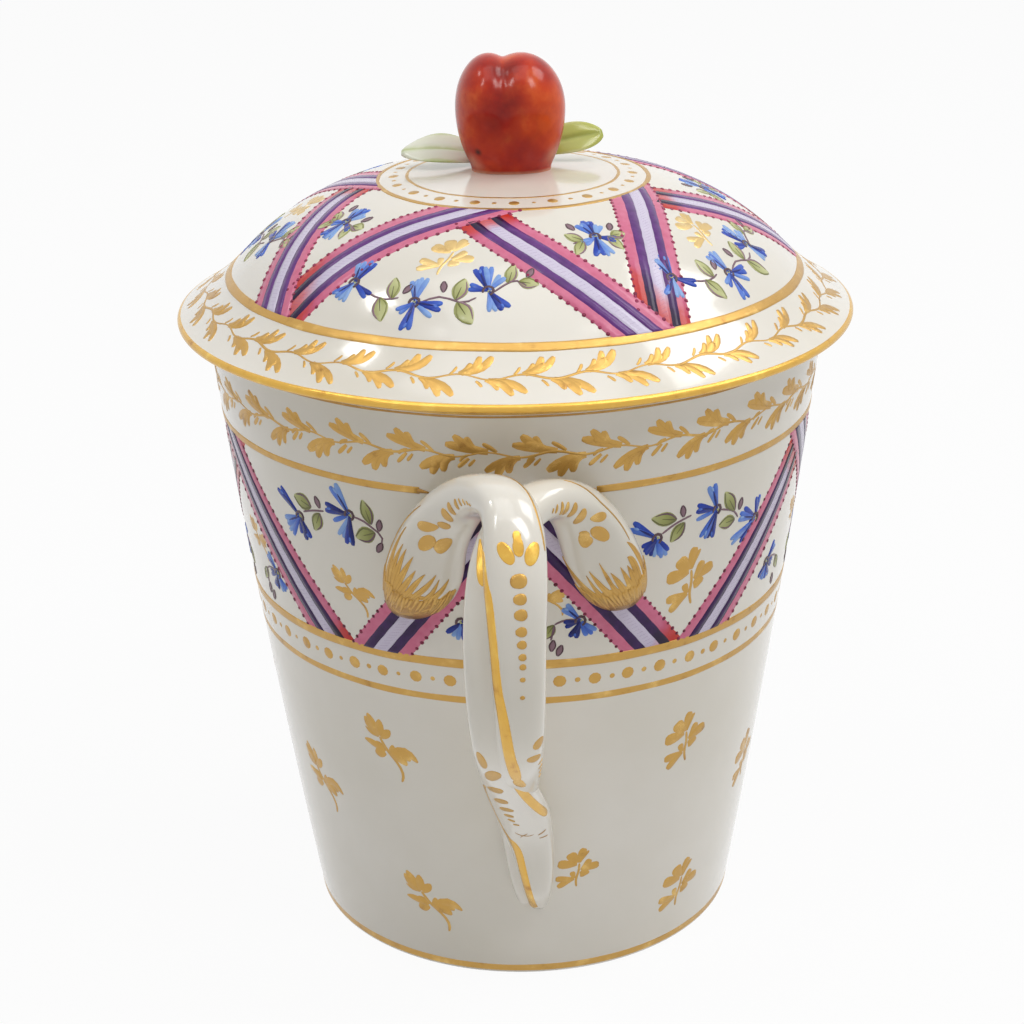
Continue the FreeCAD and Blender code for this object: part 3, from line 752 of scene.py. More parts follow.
def bump(tree, shader, height, strength, distance):
    """Roughens a shader's normal by a height."""
    node = add(tree, "Bump", strength=strength, distance=distance, height=height)
    settle(tree, shader, normal=node.outputs["Normal"])


def falling(tree, value, full, none):
    """1 where a value is at full, falling smoothly to 0 where it is at none."""
    fall = add(tree, "MapRange", interpolation_type="SMOOTHSTEP", value=value)
    return settle(tree, fall, from_min=full, from_max=none, to_min=1.0, to_max=0.0).outputs["Result"]


def near(tree, place, middle, reach):
    """1 at a middle in object coordinates, falling smoothly to 0 at the reach from it."""
    way = add(tree, "VectorMath", operation="DISTANCE")
    put(tree, place, way.inputs[0])
    put(tree, middle, way.inputs[1])
    return falling(tree, way.outputs["Value"], 0.0, reach)


def mixed(tree, share, under, over):
    """A colour over another by a share. The colour over it is given as it looks on a screen."""
    node = add(tree, "Mix", data_type="RGBA")
    for value, number in ((share, 0), (under, 6), ((*linear(*over), 1), 7)):
        put(tree, value, node.inputs[number])
    return node.outputs[2]


def product(tree, first, second):
    """Two values multiplied, kept under 1."""
    return calc(tree, "MULTIPLY", first, second, use_clamp=True)


def porcelain():
    """Hard white porcelain: faint cloudiness in its colour and a slow ripple in its glaze."""
    material, tree, shader = new_material(
        "white_glaze", linear(236, 230, 217), 0.16, coat=0.4, coat_roughness=0.05
    )
    colour = ramp(tree, noise(tree, 38.0, detail=4.0), tints((0.3, 231, 225, 211), (0.7, 240, 235, 225)))
    settle(tree, shader, base_color=colour)
    settle(tree, shader, subsurface_weight=0.08, subsurface_radius=(0.004, 0.0035, 0.003))
    bump(tree, shader, noise(tree, 160.0, detail=2.0), strength=0.08, distance=0.0006)
    return material


def gilding(name, bright, light, dark, roughness=0.3):
    """Burnished gold laid with a brush: streaks along the stroke and thin brown places."""
    material, tree, shader = new_material(name, linear(*light), roughness, metallic=0.6)
    streaks = noise(tree, 9.0, stretch=(1.2, 7.0, 1.0), source="UV")
    uneven = calc(tree, "MULTIPLY_ADD", streaks, 0.7, noise(tree, 420.0, detail=2.0))
    stops = tints((0.416, *dark), (0.576, *light), (0.76, *light), (0.92, *bright))
    settle(tree, shader, base_color=ramp(tree, calc(tree, "MULTIPLY", uneven, 0.8), stops))
    bump(tree, shader, uneven, strength=0.22, distance=0.00012)
    return material


# Tints of the fruit and painted reflections: middle in metres, reach, strength and colour
FRUIT_TINTS_AND_REFLECTIONS = (
    ((-0.0008, -0.0068, 0.121), 0.0046, 0.75, (112, 8, 4)),
    ((-0.002, -0.0068, 0.116), 0.004, 0.5, (134, 18, 8)),
    ((0.001, -0.0068, 0.115), 0.0036, 0.45, (128, 16, 8)),
    ((-0.001, -0.004, 0.1255), 0.003, 0.9, (100, 16, 10)),
    ((0.0056, -0.0044, 0.1186), 0.0062, 0.8, (240, 96, 20)),
    ((-0.0068, -0.003, 0.119), 0.0044, 0.4, (210, 78, 30)),
    # the last two rows are painted reflections, pale pink, low on the right and the left flank
    ((0.0061, -0.0024, 0.1126), 0.0026, 0.7, (232, 162, 128)),
    ((-0.0058, -0.0028, 0.1114), 0.0024, 0.7, (236, 184, 154)),
)
SPECK = ((-0.00465, -0.00374, 0.1136), 0.00085, (40, 14, 14))
PALE_FOOT = (0.1103, 0.1109, (226, 162, 134))


def fruit_enamel():
    """Mottled red and orange, dark down the middle of the front, with painted reflections low on both
    flanks.
    """
    material, tree, shader = new_material(
        "fruit_red", linear(190, 60, 30), 0.2, specular=0.22, coat=0.12, coat_roughness=0.1
    )
    place = add(tree, "TexCoord").outputs["Object"]
    mottle = noise(tree, 210.0, detail=4.0)
    colour = ramp(tree, mottle, tints(
        (0.3, 156, 20, 6), (0.44, 182, 38, 12), (0.56, 200, 56, 18), (0.72, 224, 96, 38),
    ))
    stops = [(0.35, (0.55, 0.55, 0.55)), (0.6, (1, 1, 1))]
    broken = ramp(tree, noise(tree, 520.0, detail=4.0), stops)
    for middle, reach, strength, tint in FRUIT_TINTS_AND_REFLECTIONS:
        share = product(tree, product(tree, near(tree, place, middle, reach), broken), strength)
        colour = mixed(tree, share, colour, tint)
    low, high, tint = PALE_FOOT
    height = add(tree, "SeparateXYZ", vector=place).outputs["Z"]
    foot = falling(tree, height, low, high)
    colour = mixed(tree, product(tree, foot, broken), colour, tint)
    middle, reach, tint = SPECK
    colour = mixed(tree, near(tree, place, middle, reach), colour, tint)
    settle(tree, shader, base_color=colour)
    bump(tree, shader, mottle, strength=0.05, distance=0.0003)
    return material


def leaf_enamel(name, *rows):
    """Enamel over a modelled leaf: its colour goes from the midrib to the edge, a little uneven."""
    stops = tints(*rows)
    material, tree, shader = new_material(name, stops[1][1], 0.16, specular=0.35)
    layer = add(tree, "Attribute", attribute_name="leaf").outputs["Vector"]
    across = add(tree, "SeparateXYZ", vector=layer).outputs["Y"]
    aside = calc(tree, "ABSOLUTE", calc(tree, "SUBTRACT", across, 0.5))
    broken = calc(tree, "MULTIPLY_ADD", noise(tree, 420.0), 0.24, -0.12)
    total = calc(tree, "MULTIPLY_ADD", aside, 2.0, broken)
    settle(tree, shader, base_color=ramp(tree, total, stops))
    return material


def enamel(name, *rows, wobble=0.18):
    """Enamel colour under a shine: its tone picks the colour, and a fine noise breaks it up."""
    stops = tints(*rows)
    material, tree, shader = new_material(name, stops[0][1], 0.22, specular=0.22, coat=0.08)
    tone = add(tree, "Attribute", attribute_name="tone").outputs["Fac"]
    broken = calc(tree, "MULTIPLY_ADD", noise(tree, 900.0), 2 * wobble, tone)
    colour = ramp(tree, calc(tree, "SUBTRACT", broken, wobble), stops)
    settle(tree, shader, base_color=colour)
    return material


# Build: bodies first

glaze = porcelain()
MATERIALS = {
    "gilding": gilding("gold_paint", (232, 194, 116), (199, 156, 80), (148, 102, 46)),
    # a brighter, smoother copy of the gilding: painted highlight on the cover's rim, the handle's front
    # petals and its bands
    "gold_bright": gilding("gold_bright", (250, 214, 110), (226, 178, 78), (170, 110, 36), 0.2),
    "gold_dark": gilding("gold_dark", (204, 162, 90), (174, 130, 66), (120, 84, 40), 0.35),
    # a lighter copy of the gilding for the cover's sprigs: painted light where the cover faces the light
    "gold_pale": gilding("gold_pale", (240, 218, 166), (222, 190, 126), (192, 154, 92)),
    "pink": enamel(
        "pink", (0.0, 226, 132, 162), (0.3, 210, 100, 134), (0.62, 206, 68, 72), (1.0, 200, 48, 34),
    ),
    "lavender": enamel(
        "lavender", (0.0, 226, 220, 236), (0.4, 208, 196, 222), (0.7, 214, 120, 130),
        (1.0, 206, 70, 60), wobble=0.1,
    ),
    "purple": enamel(
        "purple", (0.0, 116, 62, 142), (0.3, 66, 28, 94), (0.5, 40, 16, 60), (1.0, 34, 8, 14),
        wobble=0.16,
    ),
    "maroon": enamel("maroon", (0.0, 158, 42, 84), (1.0, 92, 12, 40), wobble=0.2),
    "blue": enamel(
        "blue", (0.0, 140, 176, 232), (0.3, 80, 122, 218), (0.6, 34, 66, 178), (1.0, 18, 26, 104),
        wobble=0.14,
    ),
    "leaf": enamel(
        "leaf", (0.0, 204, 206, 150), (0.5, 164, 168, 98), (1.0, 112, 112, 66), wobble=0.14,
    ),
    "brown": enamel("brown", (0.0, 150, 118, 130), (1.0, 82, 58, 64), wobble=0.2),
}
# its light edge is a painted highlight along the leaf's rim; the rest is the leaf's own green
leaf_green = leaf_enamel(
    "leaf_green", (0.0, 158, 166, 70), (0.25, 186, 192, 94), (0.8, 192, 198, 104), (1.0, 216, 218, 160),
)
# the near-white face is a painted reflection on the flat-lying leaf; its green midrib and border are its
# own colour
painted_reflection_leaf = leaf_enamel(
    "leaf_painted_reflection", (0.0, 196, 206, 152), (0.12, 226, 232, 204), (0.3, 236, 238, 220),
    (0.78, 234, 237, 214), (0.93, 206, 216, 160), (1.0, 184, 198, 128),
)

beaker = turn_piece("beaker", beaker_section(), glaze)
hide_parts("cup")
left_strap, right_strap = Strap(LEFT_STRAP), Strap(RIGHT_STRAP)
strap_piece("left_strap", left_strap, glaze)
strap_piece("right_strap", right_strap, glaze)

dome = turn_piece("dome", cover_section(), glaze)
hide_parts("cover")
fruit_piece(fruit_enamel())
leaf_piece(
    "right_leaf", hold=(FRUIT_MIDDLE, 5.5, LEAF_HOLD), root=(1.2, 5.6, LEAF_HOLD + 0.6),
    tip=(12.8, 7.5, LEAF_HOLD + 2.6), face=(0, -0.8, 0.6), width=4.7, arch=0.6, blunt=1.5,
    material=leaf_green,
)
leaf_piece(
    "left_leaf", hold=(FRUIT_MIDDLE, 4.6, LEAF_HOLD), root=(-3.4, 4.6, LEAF_HOLD),
    tip=(-15.6, 4.7, LEAF_HOLD + 0.9), face=(0, -0.42, 0.91), width=6.6, arch=0.9, blunt=1.15,
    material=painted_reflection_leaf,
)
stalk_piece(leaf_green)

# Painting


def side_surface():
    """The beaker's side with its rounded foot, measured by height."""
    height = np.r_[np.linspace(0.02, EDGE_ROUND, 12), np.linspace(EDGE_ROUND + 0.3, LIP, 180)]
    below = np.maximum(EDGE_ROUND - height, 0)
    radius = beaker_radius(height) - EDGE_ROUND + np.sqrt(EDGE_ROUND**2 - below**2)
    return Turned(height, radius, height, 1)


def cover_surface():
    """The cover's face and the underside of its rim, by the way from the crown's middle."""
    edge, seat = BRIM_RADIUS - RIM_SWELL, LIP_RADIUS + SEAT_OVERHANG
    under = np.linspace((edge, LIP + RIM_BOTTOM), (seat, LIP + 0.02), UNDER_RIM + 1)[1:]
    section = np.concatenate([cover_outside()[1:], under])
    run = np.hypot(*section[0] - (0, CROWN_TOP)) + run_along(section)
    return Turned(run, section[:, 0], section[:, 1], -1)


def round_angles(first, last, steps):
    """Even angles, with one more close to each end, so that a line's ends are short."""
    return np.r_[first, np.linspace(first + 0.06, last - 0.06, steps), last]


UNDER_RIM = 13
ROUND = (180.0, 540.4)
# How much lighter each enamel is laid on the cover than on the cup: painted light, lighter copies of the
# enamels on the cover, which faces the light
COVER_LIT_GAIN = {"blue": 0.26, "leaf": 0.28, "maroon": 0.45, "purple": 0.26}
COATS = {}


class Ground:
    """A surface that is painted on and the part it belongs to."""

    def __init__(self, part, surface):
        self.part, self.surface = part, surface

    def coat(self, kind):
        """The coat of one kind of paint on this part, made when it is first needed."""
        return COATS.setdefault((self.part, kind), Coat())

    def lit_gain(self, kind):
        """How much lighter a kind of enamel is laid on this part: painted light on the cover."""
        return COVER_LIT_GAIN[kind] if self.part == "cover" else 0.0

    def ring(self, kind, v, width, lift, span=ROUND, sway=0.05, columns=7):
        """A painted line right round, or between two angles, drawn with a slightly unsteady hand."""
        u = round_angles(*span, int((span[1] - span[0]) * 0.8))
        wander = sway * (np.sin(np.radians(u * 7)) + 0.6 * np.sin(np.radians(u * 17 + 40))) / 1.6
        widths = width * (1 + 0.8 * sway * np.sin(np.radians(u * 23 + 10)) / width**0.5)
        path = np.stack([u, v + wander], -1)
        self.coat(kind).stroke(self.surface, path, widths, lift * LAYER, 0.5, columns)

    def mark(
        self, kind, points, width, shape, lift, tone=0.5, shift=0.0, fade=0.12, steps=9, columns=5
    ):
        """One brush mark through places (u, v), lifted by a number of layers of paint."""
        path = smooth_path(points, steps) + [shift, 0]
        self.coat(kind).brush(self.surface, path, width, shape, lift * LAYER, tone, fade, columns)

    def dot_row(self, v, pitch, large, small):
        """A large dot at every pitch and a small one midway."""
        u = np.arange(0, 360, pitch) + rng.uniform(-0.25, 0.25, int(round(360 / pitch)))
        high = v + rng.uniform(-0.08, 0.08, len(u))
        for angle, size, spread, lift in ((u, large, 0.06, 1.4), (u + pitch / 2, small, 0.15, 1)):
            radius = size / 2 * rng.uniform(1 - spread, 1 + spread, len(u))
            self.coat("gilding").dots(self.surface, angle, high, radius, LAYER * lift)


SIDE, TOP = side_surface(), cover_surface()
CUP, COVER = Ground("cup", SIDE), Ground("cover", TOP)
LEFT, RIGHT = Ground("cup", left_strap), Ground("cup", right_strap)


# Ribbons


class Leg:
    """One leg of a ribbon: its middle line as an angle for each v, and half its width."""

    def __init__(self, ground, v, u, half):
        self.ground, self.half, self.knots = ground, half, (v, u)
        self.middle = spline(v, u)

    def shifted(self, turn):
        """The same leg a turn further round."""
        return Leg(self.ground, self.knots[0], np.add(self.knots[1], turn), self.half)

    def frame(self, v):
        """Middle line, and degrees to the side for a millimetre square to the leg."""
        across = self.ground.surface.scale(v, v)[0]
        slope = (self.middle(v + 0.1) - self.middle(v - 0.1)) / 0.2 * across
        return self.middle(v), np.sqrt(1 + slope**2) / across

    def beyond(self, u, v):
        """How many millimetres a place lies past the leg's edge."""
        middle, unit_aside = self.frame(v)
        return np.abs(u - middle) / unit_aside - self.half

    def strip(self, v, q):
        """Angles across the leg at shares of its half width."""
        middle, unit_aside = self.frame(v)
        return middle + unit_aside * self.half * q


# How far beside the leg over it a leg turns red, and the pitch of its edge dots and fine strokes
RED_REACH = 4.6
EDGE_DOT_PITCH = 1.22
FINE_PITCH = 0.62
# How much higher a leg's end is laid where it lies over another
LAP_LIFT = 0.05
# Shares of a ribbon's half width: its edge dots, and the middle and half width of a dark line
EDGE_DOTS = 0.93
DARK_MIDDLE, DARK_HALF = 0.385, 0.18


def paint_leg(leg, low, high, over, start_lift, end_lift):
    """A leg between two heights: pink with two dark lines, a lavender middle and dotted edges.

    over is the leg that lies over this one; beside it the colours turn to red. The lifts are
    extra heights of the paint at the low and at the high end.
    """
    ground, surface = leg.ground, leg.ground.surface
    rows = np.r_[low, low + 0.07, np.linspace(low + 0.4, high - 0.4, 52), high - 0.07, high]
    extra = start_lift + (end_lift - start_lift) * (rows - low) / (high - low)
    tall = rows[:, None]

    def lay(kind, q0, q1, columns, layers, plain, change, wave=0.0):
        """A band from q0 to q1 of the half width, its tone changing beside the leg over it."""
        q = np.r_[q0, np.linspace(q0 + 0.02, q1 - 0.02, columns), q1][None, :]
        q = q + wave * np.sin(tall * 2.9 + q0 * 5)
        u, v = leg.strip(rows, q.T).T, tall + 0 * q
        tone = plain + change * np.clip(1 - over.beyond(u, v) / RED_REACH, 0, 1)
        ground.coat(kind).lay(surface, u, v, layers * LAYER + extra[:, None], tone)

    lay("pink", -0.95, 0.95, 9, 1, 0.14, 0.85, 0.008)
    lay("lavender", -0.25, 0.25, 4, 2, 0.2, 0.7)
    # lighter dark lines on the cover: painted light
    dark = 0.38 - ground.lit_gain("purple")
    for middle in (-DARK_MIDDLE, DARK_MIDDLE):
        lay("purple", middle - DARK_HALF, middle + DARK_HALF, 3, 3, dark, 0.5, 0.006)
    # dots along both edges, and fine strokes over the lavender
    way = np.hypot(np.diff(leg.middle(rows)) * surface.scale(rows, rows)[0][1:], np.diff(rows))
    along = np.r_[0, np.cumsum(way)]
    for side in (-1, 1):
        spots = np.arange(0.5, along[-1] - 0.3, EDGE_DOT_PITCH)
        spots = spots + rng.uniform(-0.08, 0.08, len(spots))
        v = np.interp(spots, along, rows)
        lifts = 3 * LAYER + np.interp(v, rows, extra)
        radius = rng.uniform(0.23, 0.32, len(v))
        # lighter dots on the cover: painted light
        tones = rng.uniform(0.35, 1.0, len(v)) - ground.lit_gain("maroon")
        u = leg.strip(v, EDGE_DOTS * side)
        ground.coat("maroon").dots(surface, u, v, radius, lifts, tones)
    for place in np.arange(0.6, along[-1] - 0.6, FINE_PITCH):
        v = np.interp(place, along, rows) + np.array([-0.22, 0.0, 0.22]) * surface.rise
        path = smooth_path(np.stack([leg.strip(v, np.array([-0.2, 0.0, 0.2])), v], -1), 4)
        lift = 2.6 * LAYER + np.interp(v[1], rows, extra)
        ground.coat("purple").stroke(surface, path, np.full(4, 0.11), lift, -0.1, 3)


def paint_ribbon(legs, low, high, over_left):
    """A zigzag ribbon right round. over_left is true where a leg's left end lies over the last."""
    left_lift, right_lift = (LAP_LIFT, 0.0) if over_left else (0.0, LAP_LIFT)
    for number, (leg, leftwards_low) in enumerate(legs):
        last = over_left and number == len(legs) - 1
        first = not over_left and number == 0
        over = legs[(number + 1) % len(legs)][0] if over_left else legs[number - 1][0]
        over = over.shifted(360.0 * last - 360.0 * first)
        lifts = (left_lift, right_lift) if leftwards_low else (right_lift, left_lift)
        paint_leg(leg, low, high, over, *lifts)


# Turning points of the ribbons, round from the handle: low and high by turns
CUP_TURNS = (-35.2, -1, 33, 69.5, 105.5, 141.5, 178.5, 215.5, 253.5, 290.5)
COVER_TURNS = (-51.5, -13, 26.5, 59.5, 97, 131, 167, 203, 238, 274)
# How far a leg of the cover's ribbon has gone round by each way down from the crown's middle
DOWN_LEG = (
    (18.6, -0.115), (21, 0.02), (24.5, 0.22), (28, 0.42), (32, 0.61), (36, 0.77), (40, 0.905),
    (43.8, 1.02),
)
UP_LEG = (
    (18.6, 1.02), (20, 0.87), (22, 0.69), (25, 0.48), (28, 0.33), (32, 0.19), (36, 0.095),
    (43.8, -0.02),
)
CUP_RIBBON = (53.1, 77.9)
COVER_RIBBON = (19.0, 43.4)
CUP_HALF_WIDTH = 3.85
COVER_HALF_WIDTH = 3.8


def paint_ribbons():
    """The zigzag ribbons of the beaker and of the cover."""
    cup_legs, cover_legs = [], []
    for number in range(10):
        rising = number % 2 == 0
        start, end = ((*turns, turns[0] + 360)[number:number + 2] for turns in (CUP_TURNS, COVER_TURNS))
        (start, cover_start), (end, cover_end) = zip(start, end)
        angles = (start + 6.2, end + 1.3) if rising else (end - 6.1, start - 1.4)
        cup_legs.append((Leg(CUP, CUP_RIBBON, angles, CUP_HALF_WIDTH), rising))
        away, share = np.array(UP_LEG if rising else DOWN_LEG).T
        first = cover_start + 2.7 * rising
        last = cover_end - 2.7 * (not rising)
        leg = Leg(COVER, away, first + share * (last - first), COVER_HALF_WIDTH)
        cover_legs.append((leg, not rising))
    paint_ribbon(cup_legs, *CUP_RIBBON, True)
    paint_ribbon(cover_legs, *COVER_RIBBON, False)


# Gilded lines, rows of dots and garlands

# Lines right round: place, width in millimetres and lift in layers of paint
CUP_RINGS = ((52.75, 1.4, 4), (47.1, 1.1, 1))
COVER_RINGS = ((14.7, 0.5, 1), (18.9, 0.72, 4), (43.8, 1.4, 4))
UPPER_LINE = 78.2


def paint_lines():
    """Lines and dots that part the zones, the gilded rim, lip and foot."""
    CUP.ring("gilding", 89.55, 0.75, 1)
    # painted shade: a thin darker gold line just under the lip's gilding, for the shadow under the
    # cover's rim
    CUP.ring("gold_dark", 88.95, 0.34, 1.6)
    # the upper line stops beside the handle
    CUP.ring("gilding", UPPER_LINE, 1.05, 4, (13.5, 342.5))
    for v, width, lift in CUP_RINGS:
        CUP.ring("gilding", v, width, lift)
    CUP.ring("gilding", 0.88, 1.66, 1, sway=0.02, columns=25)
    CUP.dot_row(50.0, 7.2, 1.95, 0.8)
    for u, turn in ((-18.0, -1), (13.4, 1)):
        points = ((u, UPPER_LINE), (u - 2.2 * turn, UPPER_LINE - 0.2))
        CUP.mark("gold_dark", points, 0.75, taper, 5)
    for v, width, lift in COVER_RINGS:
        COVER.ring("gilding", v, width, lift)
    COVER.dot_row(16.7, 18.0, 1.65, 0.7)
    rim = TOP.run[-UNDER_RIM - 1]
    # the gilded rim in the brighter gold: painted highlight
    COVER.ring("gold_bright", rim - 0.5, 2.3, 1, sway=0.02, columns=41)


# Marks are rows of a width and then the places that the brush goes through, root first
GARLAND_LEAF = (
    (1.7, 0.4, 0, -2.3, 0.7, -5.3, 1.5), (1.6, -0.6, 0.2, -2.3, 1, -4, 2.7),
    (1.5, -0.8, 0.1, -1.9, 1, -2.3, 2.4), (1.7, -1.2, 0.4, -2.6, 1, -3.6, 1.5),
    (0.8, 1.4, -0.1, 0.6, 0.6, -0.4, 1.3), (0.6, -2.2, -0.2, -3, -0.5, -3.6, -1.1),
)
GARLAND_UNDER = (
    (1.7, 0.6, 0, -1.9, -0.7, -4.3, -2.3), (1.6, -0.4, -0.2, -1.8, -1.1, -2.6, -3),
    (1.4, 0, -0.2, -0.8, -0.9, -1, -2.4), (1.6, -0.6, -0.3, -1.8, -1, -2.7, -1.8),
    (0.8, 2.4, 0, 1.7, -0.7, 0.9, -1.5), (0.6, 3.2, -0.1, 2.8, -0.6, 2.3, -1.2),
)
FEATHER = (
    (1.35, 0, 0, 1.7, 0.8, 2.5, 2.7), (1.4, 0.5, 0.1, 2.8, 0.9, 4.2, 2.6),
    (1, -0.3, 0.1, 0.7, 0.6, 1.3, 1.7), (1.5, 0.4, 0.1, 1.7, 0.6, 2.8, 1.5),
    (0.55, -1.4, 0, -0.9, 0.5, -0.5, 1.2),
)
FEATHER_UNDER = (
    (1.35, 0.2, 0, 2.1, -0.9, 3.2, -2.7), (1.4, 0.9, -0.1, 3.4, -0.9, 4.9, -2.4),
    (1, -0.1, 0, 1, -0.7, 1.5, -1.7), (1.5, 0.6, -0.1, 2.3, -0.7, 3.4, -1.6),
    (0.55, -1.2, -0.1, -0.7, -0.6, -0.4, -1.1),
)


def pairs(numbers):
    """A row of numbers as places (u, v) or (x, y)."""
    return np.reshape(numbers, (-1, 2))


def garland(ground, v, count, starts, motifs, sway):
    """A running garland: leaves by turns above and below a wavy stem."""
    pitch = 360 / count
    surface = ground.surface
    u = round_angles(*ROUND, count * 12)
    wave = sway * np.cos(np.radians((u - starts[0]) / pitch * 360))
    path = np.stack([u, v + surface.rise * wave], -1)
    widths = 0.32 + 0.08 * np.sin(np.radians(u * 13))
    ground.coat("gilding").stroke(surface, path, widths, 1.5 * LAYER)
    for number in range(count):
        for start, motif, side in zip(starts, motifs, (1, -1)):
            angle = start + pitch * number + rng.uniform(-0.4, 0.4)
            place = v + surface.rise * sway * side
            spot = Spot(surface, angle, place, rng.uniform(0.93, 1.05), rng.uniform(-5, 5))
            for order, (width, *points) in enumerate(motif):
                width *= rng.uniform(0.9, 1.1)
                lift = rng.uniform(0.9, 1.4)
                spot.mark(ground.coat("gilding"), pairs(points), width, club, lift)
                if ground is CUP and order < 3:
                    vein = pairs(points) + (0.1, -0.12)
                    spot.mark(ground.coat("gold_dark"), vein, 0.13, spike, 2.2, columns=3)


# Sprigs, in millimetres
POINTED_SPRIG = (
    (1.35, -1.2, 2.1, -2.3, 3.3, -3.1, 4.6), (1.3, -1.2, 2.1, -2, 3.7, -2.6, 5.2),
    (1.25, -1.1, 2.1, -1, 3.4, -0.9, 4.7), (1.2, -1.1, 2.1, -0.4, 2.5, 0.5, 3.4),
    (0.45, -1.2, 2.1, -2.3, 2.3, -3.2, 3.1), (1, -0.7, 0, -2.2, 0.8, -3.6, 1.2),
    (1.1, -0.6, 0, -1.3, 0.7, -2.1, 1.1), (1.5, -0.6, 0, -1.4, -0.3, -2.2, -0.5),
    (1.2, 0.1, 0, 2.2, 0.7, 4, -0.7), (1.35, 0.1, -0.1, 1.3, -0.4, 2.4, -1.4),
    (0.9, 0, 0.1, 0.5, 0.6, 0.6, 1.3), (1.3, 0.1, 0, 1.4, 0.2, 3, -0.6),
)
POINTED_STEM = ((-1.2, 2.1), (-0.2, 0.2), (1, -1.3), (1.6, -3.2), (1.3, -4.1))
ROUND_SPRIG = (
    (1.75, -0.4, 1.2, -2.2, 0.9, -3.9, 0.9), (1.8, -0.4, 1.3, -1.3, 2.2, -2.2, 3.3),
    (1.35, -0.2, 1.3, -0.1, 3, 0.2, 4.5), (0.5, 0, 1.4, 0.5, 2.8, 1.1, 4),
    (1.15, 0.5, -0.2, 1.3, 1.2, 1.7, 2.2), (1.5, 0.5, -0.3, 2, 0.6, 3.6, 1.1),
    (1.7, 0.5, -0.3, 1.1, -0.7, 1.6, -1.3), (0.95, -0.3, -2, -0.7, -1.3, -1, -0.5),
    (1.2, -0.3, -2, -2.1, -2.2, -3.7, -2.3), (1.1, -0.3, -2, -1.7, -2.9, -3, -4.1),
)
ROUND_STEM = ((-0.1, 1.3), (0.1, -0.6), (0, -2), (0.4, -3.7))
# Where sprigs lie: angle, place along the surface, size, turn, and 1 for a round one
CUP_SPRIGS = (
    (-30, 36.4, 1, 0, 0), (38, 36.2, 1, 0, 1), (-23.5, 11, 1, 8, 0), (12.6, 18.3, 0.82, -10, 1),
    (-54, 26, 1, 5, 0), (43, 10, 1, -12, 1), (67, 25.5, 1, 0, 1),
)
# Those behind: angle, place and kind
SPRIGS_BEHIND = (
    (-90, 12, 0), (-86, 37, 1), (88, 11, 0), (110, 28, 1), (90, 39.5, 0), (128, 14, 1),
    (137, 37, 0), (160, 23, 1), (184, 9.5, 0), (172, 40, 1), (203, 31, 0), (222, 12.5, 1),
    (236, 37.5, 0), (251, 22, 1),
)


def sprig(ground, u, v, size, turn, kind):
    """A gilded sprig of three clusters of leaves on a curled stem."""
    marks, stalk, shape, grown = (
        (ROUND_SPRIG, ROUND_STEM, petal, 1.0) if kind else (POINTED_SPRIG, POINTED_STEM, spike, 1.12)
    )
    spot = Spot(ground.surface, u, v, size * grown, turn)
    # the cover's sprigs take the lighter gold copy: painted light
    coat = ground.coat("gilding" if ground is CUP else "gold_pale")
    spot.mark(coat, stalk, 0.46, line, 1.2, steps=14)
    for width, *points in marks:
        spot.mark(coat, pairs(points), width * 1.38, shape, rng.uniform(0.9, 1.5))


def paint_sprigs():
    """Sprigs on the plain lower part of the cup and in the fields between the ribbons."""
    for row in CUP_SPRIGS:
        sprig(CUP, *row)
    for u, v, kind in SPRIGS_BEHIND:
        sprig(CUP, u, v, 1.0, rng.uniform(-12, 12), kind)
    sprig(CUP, CUP_TURNS[0] + 1.6, 60.9, 0.76, 12, 0)
    for turn in CUP_TURNS[2::2]:
        sprig(CUP, turn + 1.3, 62.3, 1.06, 0, 1)
    for turn in CUP_TURNS[1::2]:
        sprig(CUP, turn + 6.0, 62.6, 0.66, 20, 0)
    for turn in COVER_TURNS[1::2]:
        sprig(COVER, turn - 3.5, 30.2, 0.88, -20, 1)


# Cornflower sprays


def beside(ground, root, tip):
    """Gives places near a line by the share of its way and the millimetres to its left."""
    root = np.array(root, float)
    scale = local_scale(ground.surface, *root)
    way = (tip - root) * scale
    square = np.array([-way[1], way[0]]) / math.hypot(*way)
    return lambda share, aside=0.0: root + (way * share + square * aside) / scale


def bloom(ground, calyx, petals, shift):
    """A cornflower from the side: petals that spread from a small brown cup.

    Each petal gives the place of its tip, its width and its tone.
    """
    for *tip, width, tone in petals:
        at = beside(ground, calyx, tip)
        wide = width > 1.0
        for aside in (-0.4 * width, 0.4 * width) if wide else (0,):
            far = at(rng.uniform(0.94, 1.02), aside)
            lift = rng.uniform(3.0, 4.4)
            # lighter blue on the cover: painted light
            own = tone + rng.uniform(-0.18, 0.18) - ground.lit_gain("blue")
            points, size = (calyx, at(0.5, aside * 0.3), far), width * (0.8 if wide else 1.0)
            ground.mark("blue", points, size, petal, lift, own, shift, -0.3)
        if width > 1.2:
            middle, far = at(0.72), at(0.9, width * 0.12)
            ground.mark("blue", (calyx, middle), width * 0.32, spike, 5, 0.95, shift)
            ground.mark("blue", (middle, far), width * 0.28, oval, 5.4, tone - 0.55, shift)


def curl(ground, u, v):
    """The brown ring of a flower's cup."""
    spot = Spot(ground.surface, u, v)
    points = ((-0.75, -0.35), (-0.5, 0.5), (0.35, 0.55), (0.6, -0.1), (0.15, -0.75))
    spot.mark(ground.coat("brown"), points, 0.42, line, 5, 0.9, 12)
    spot.mark(ground.coat("leaf"), ((-0.2, 0.3), (0.2, -0.3)), 0.5, oval, 4, 0.3)


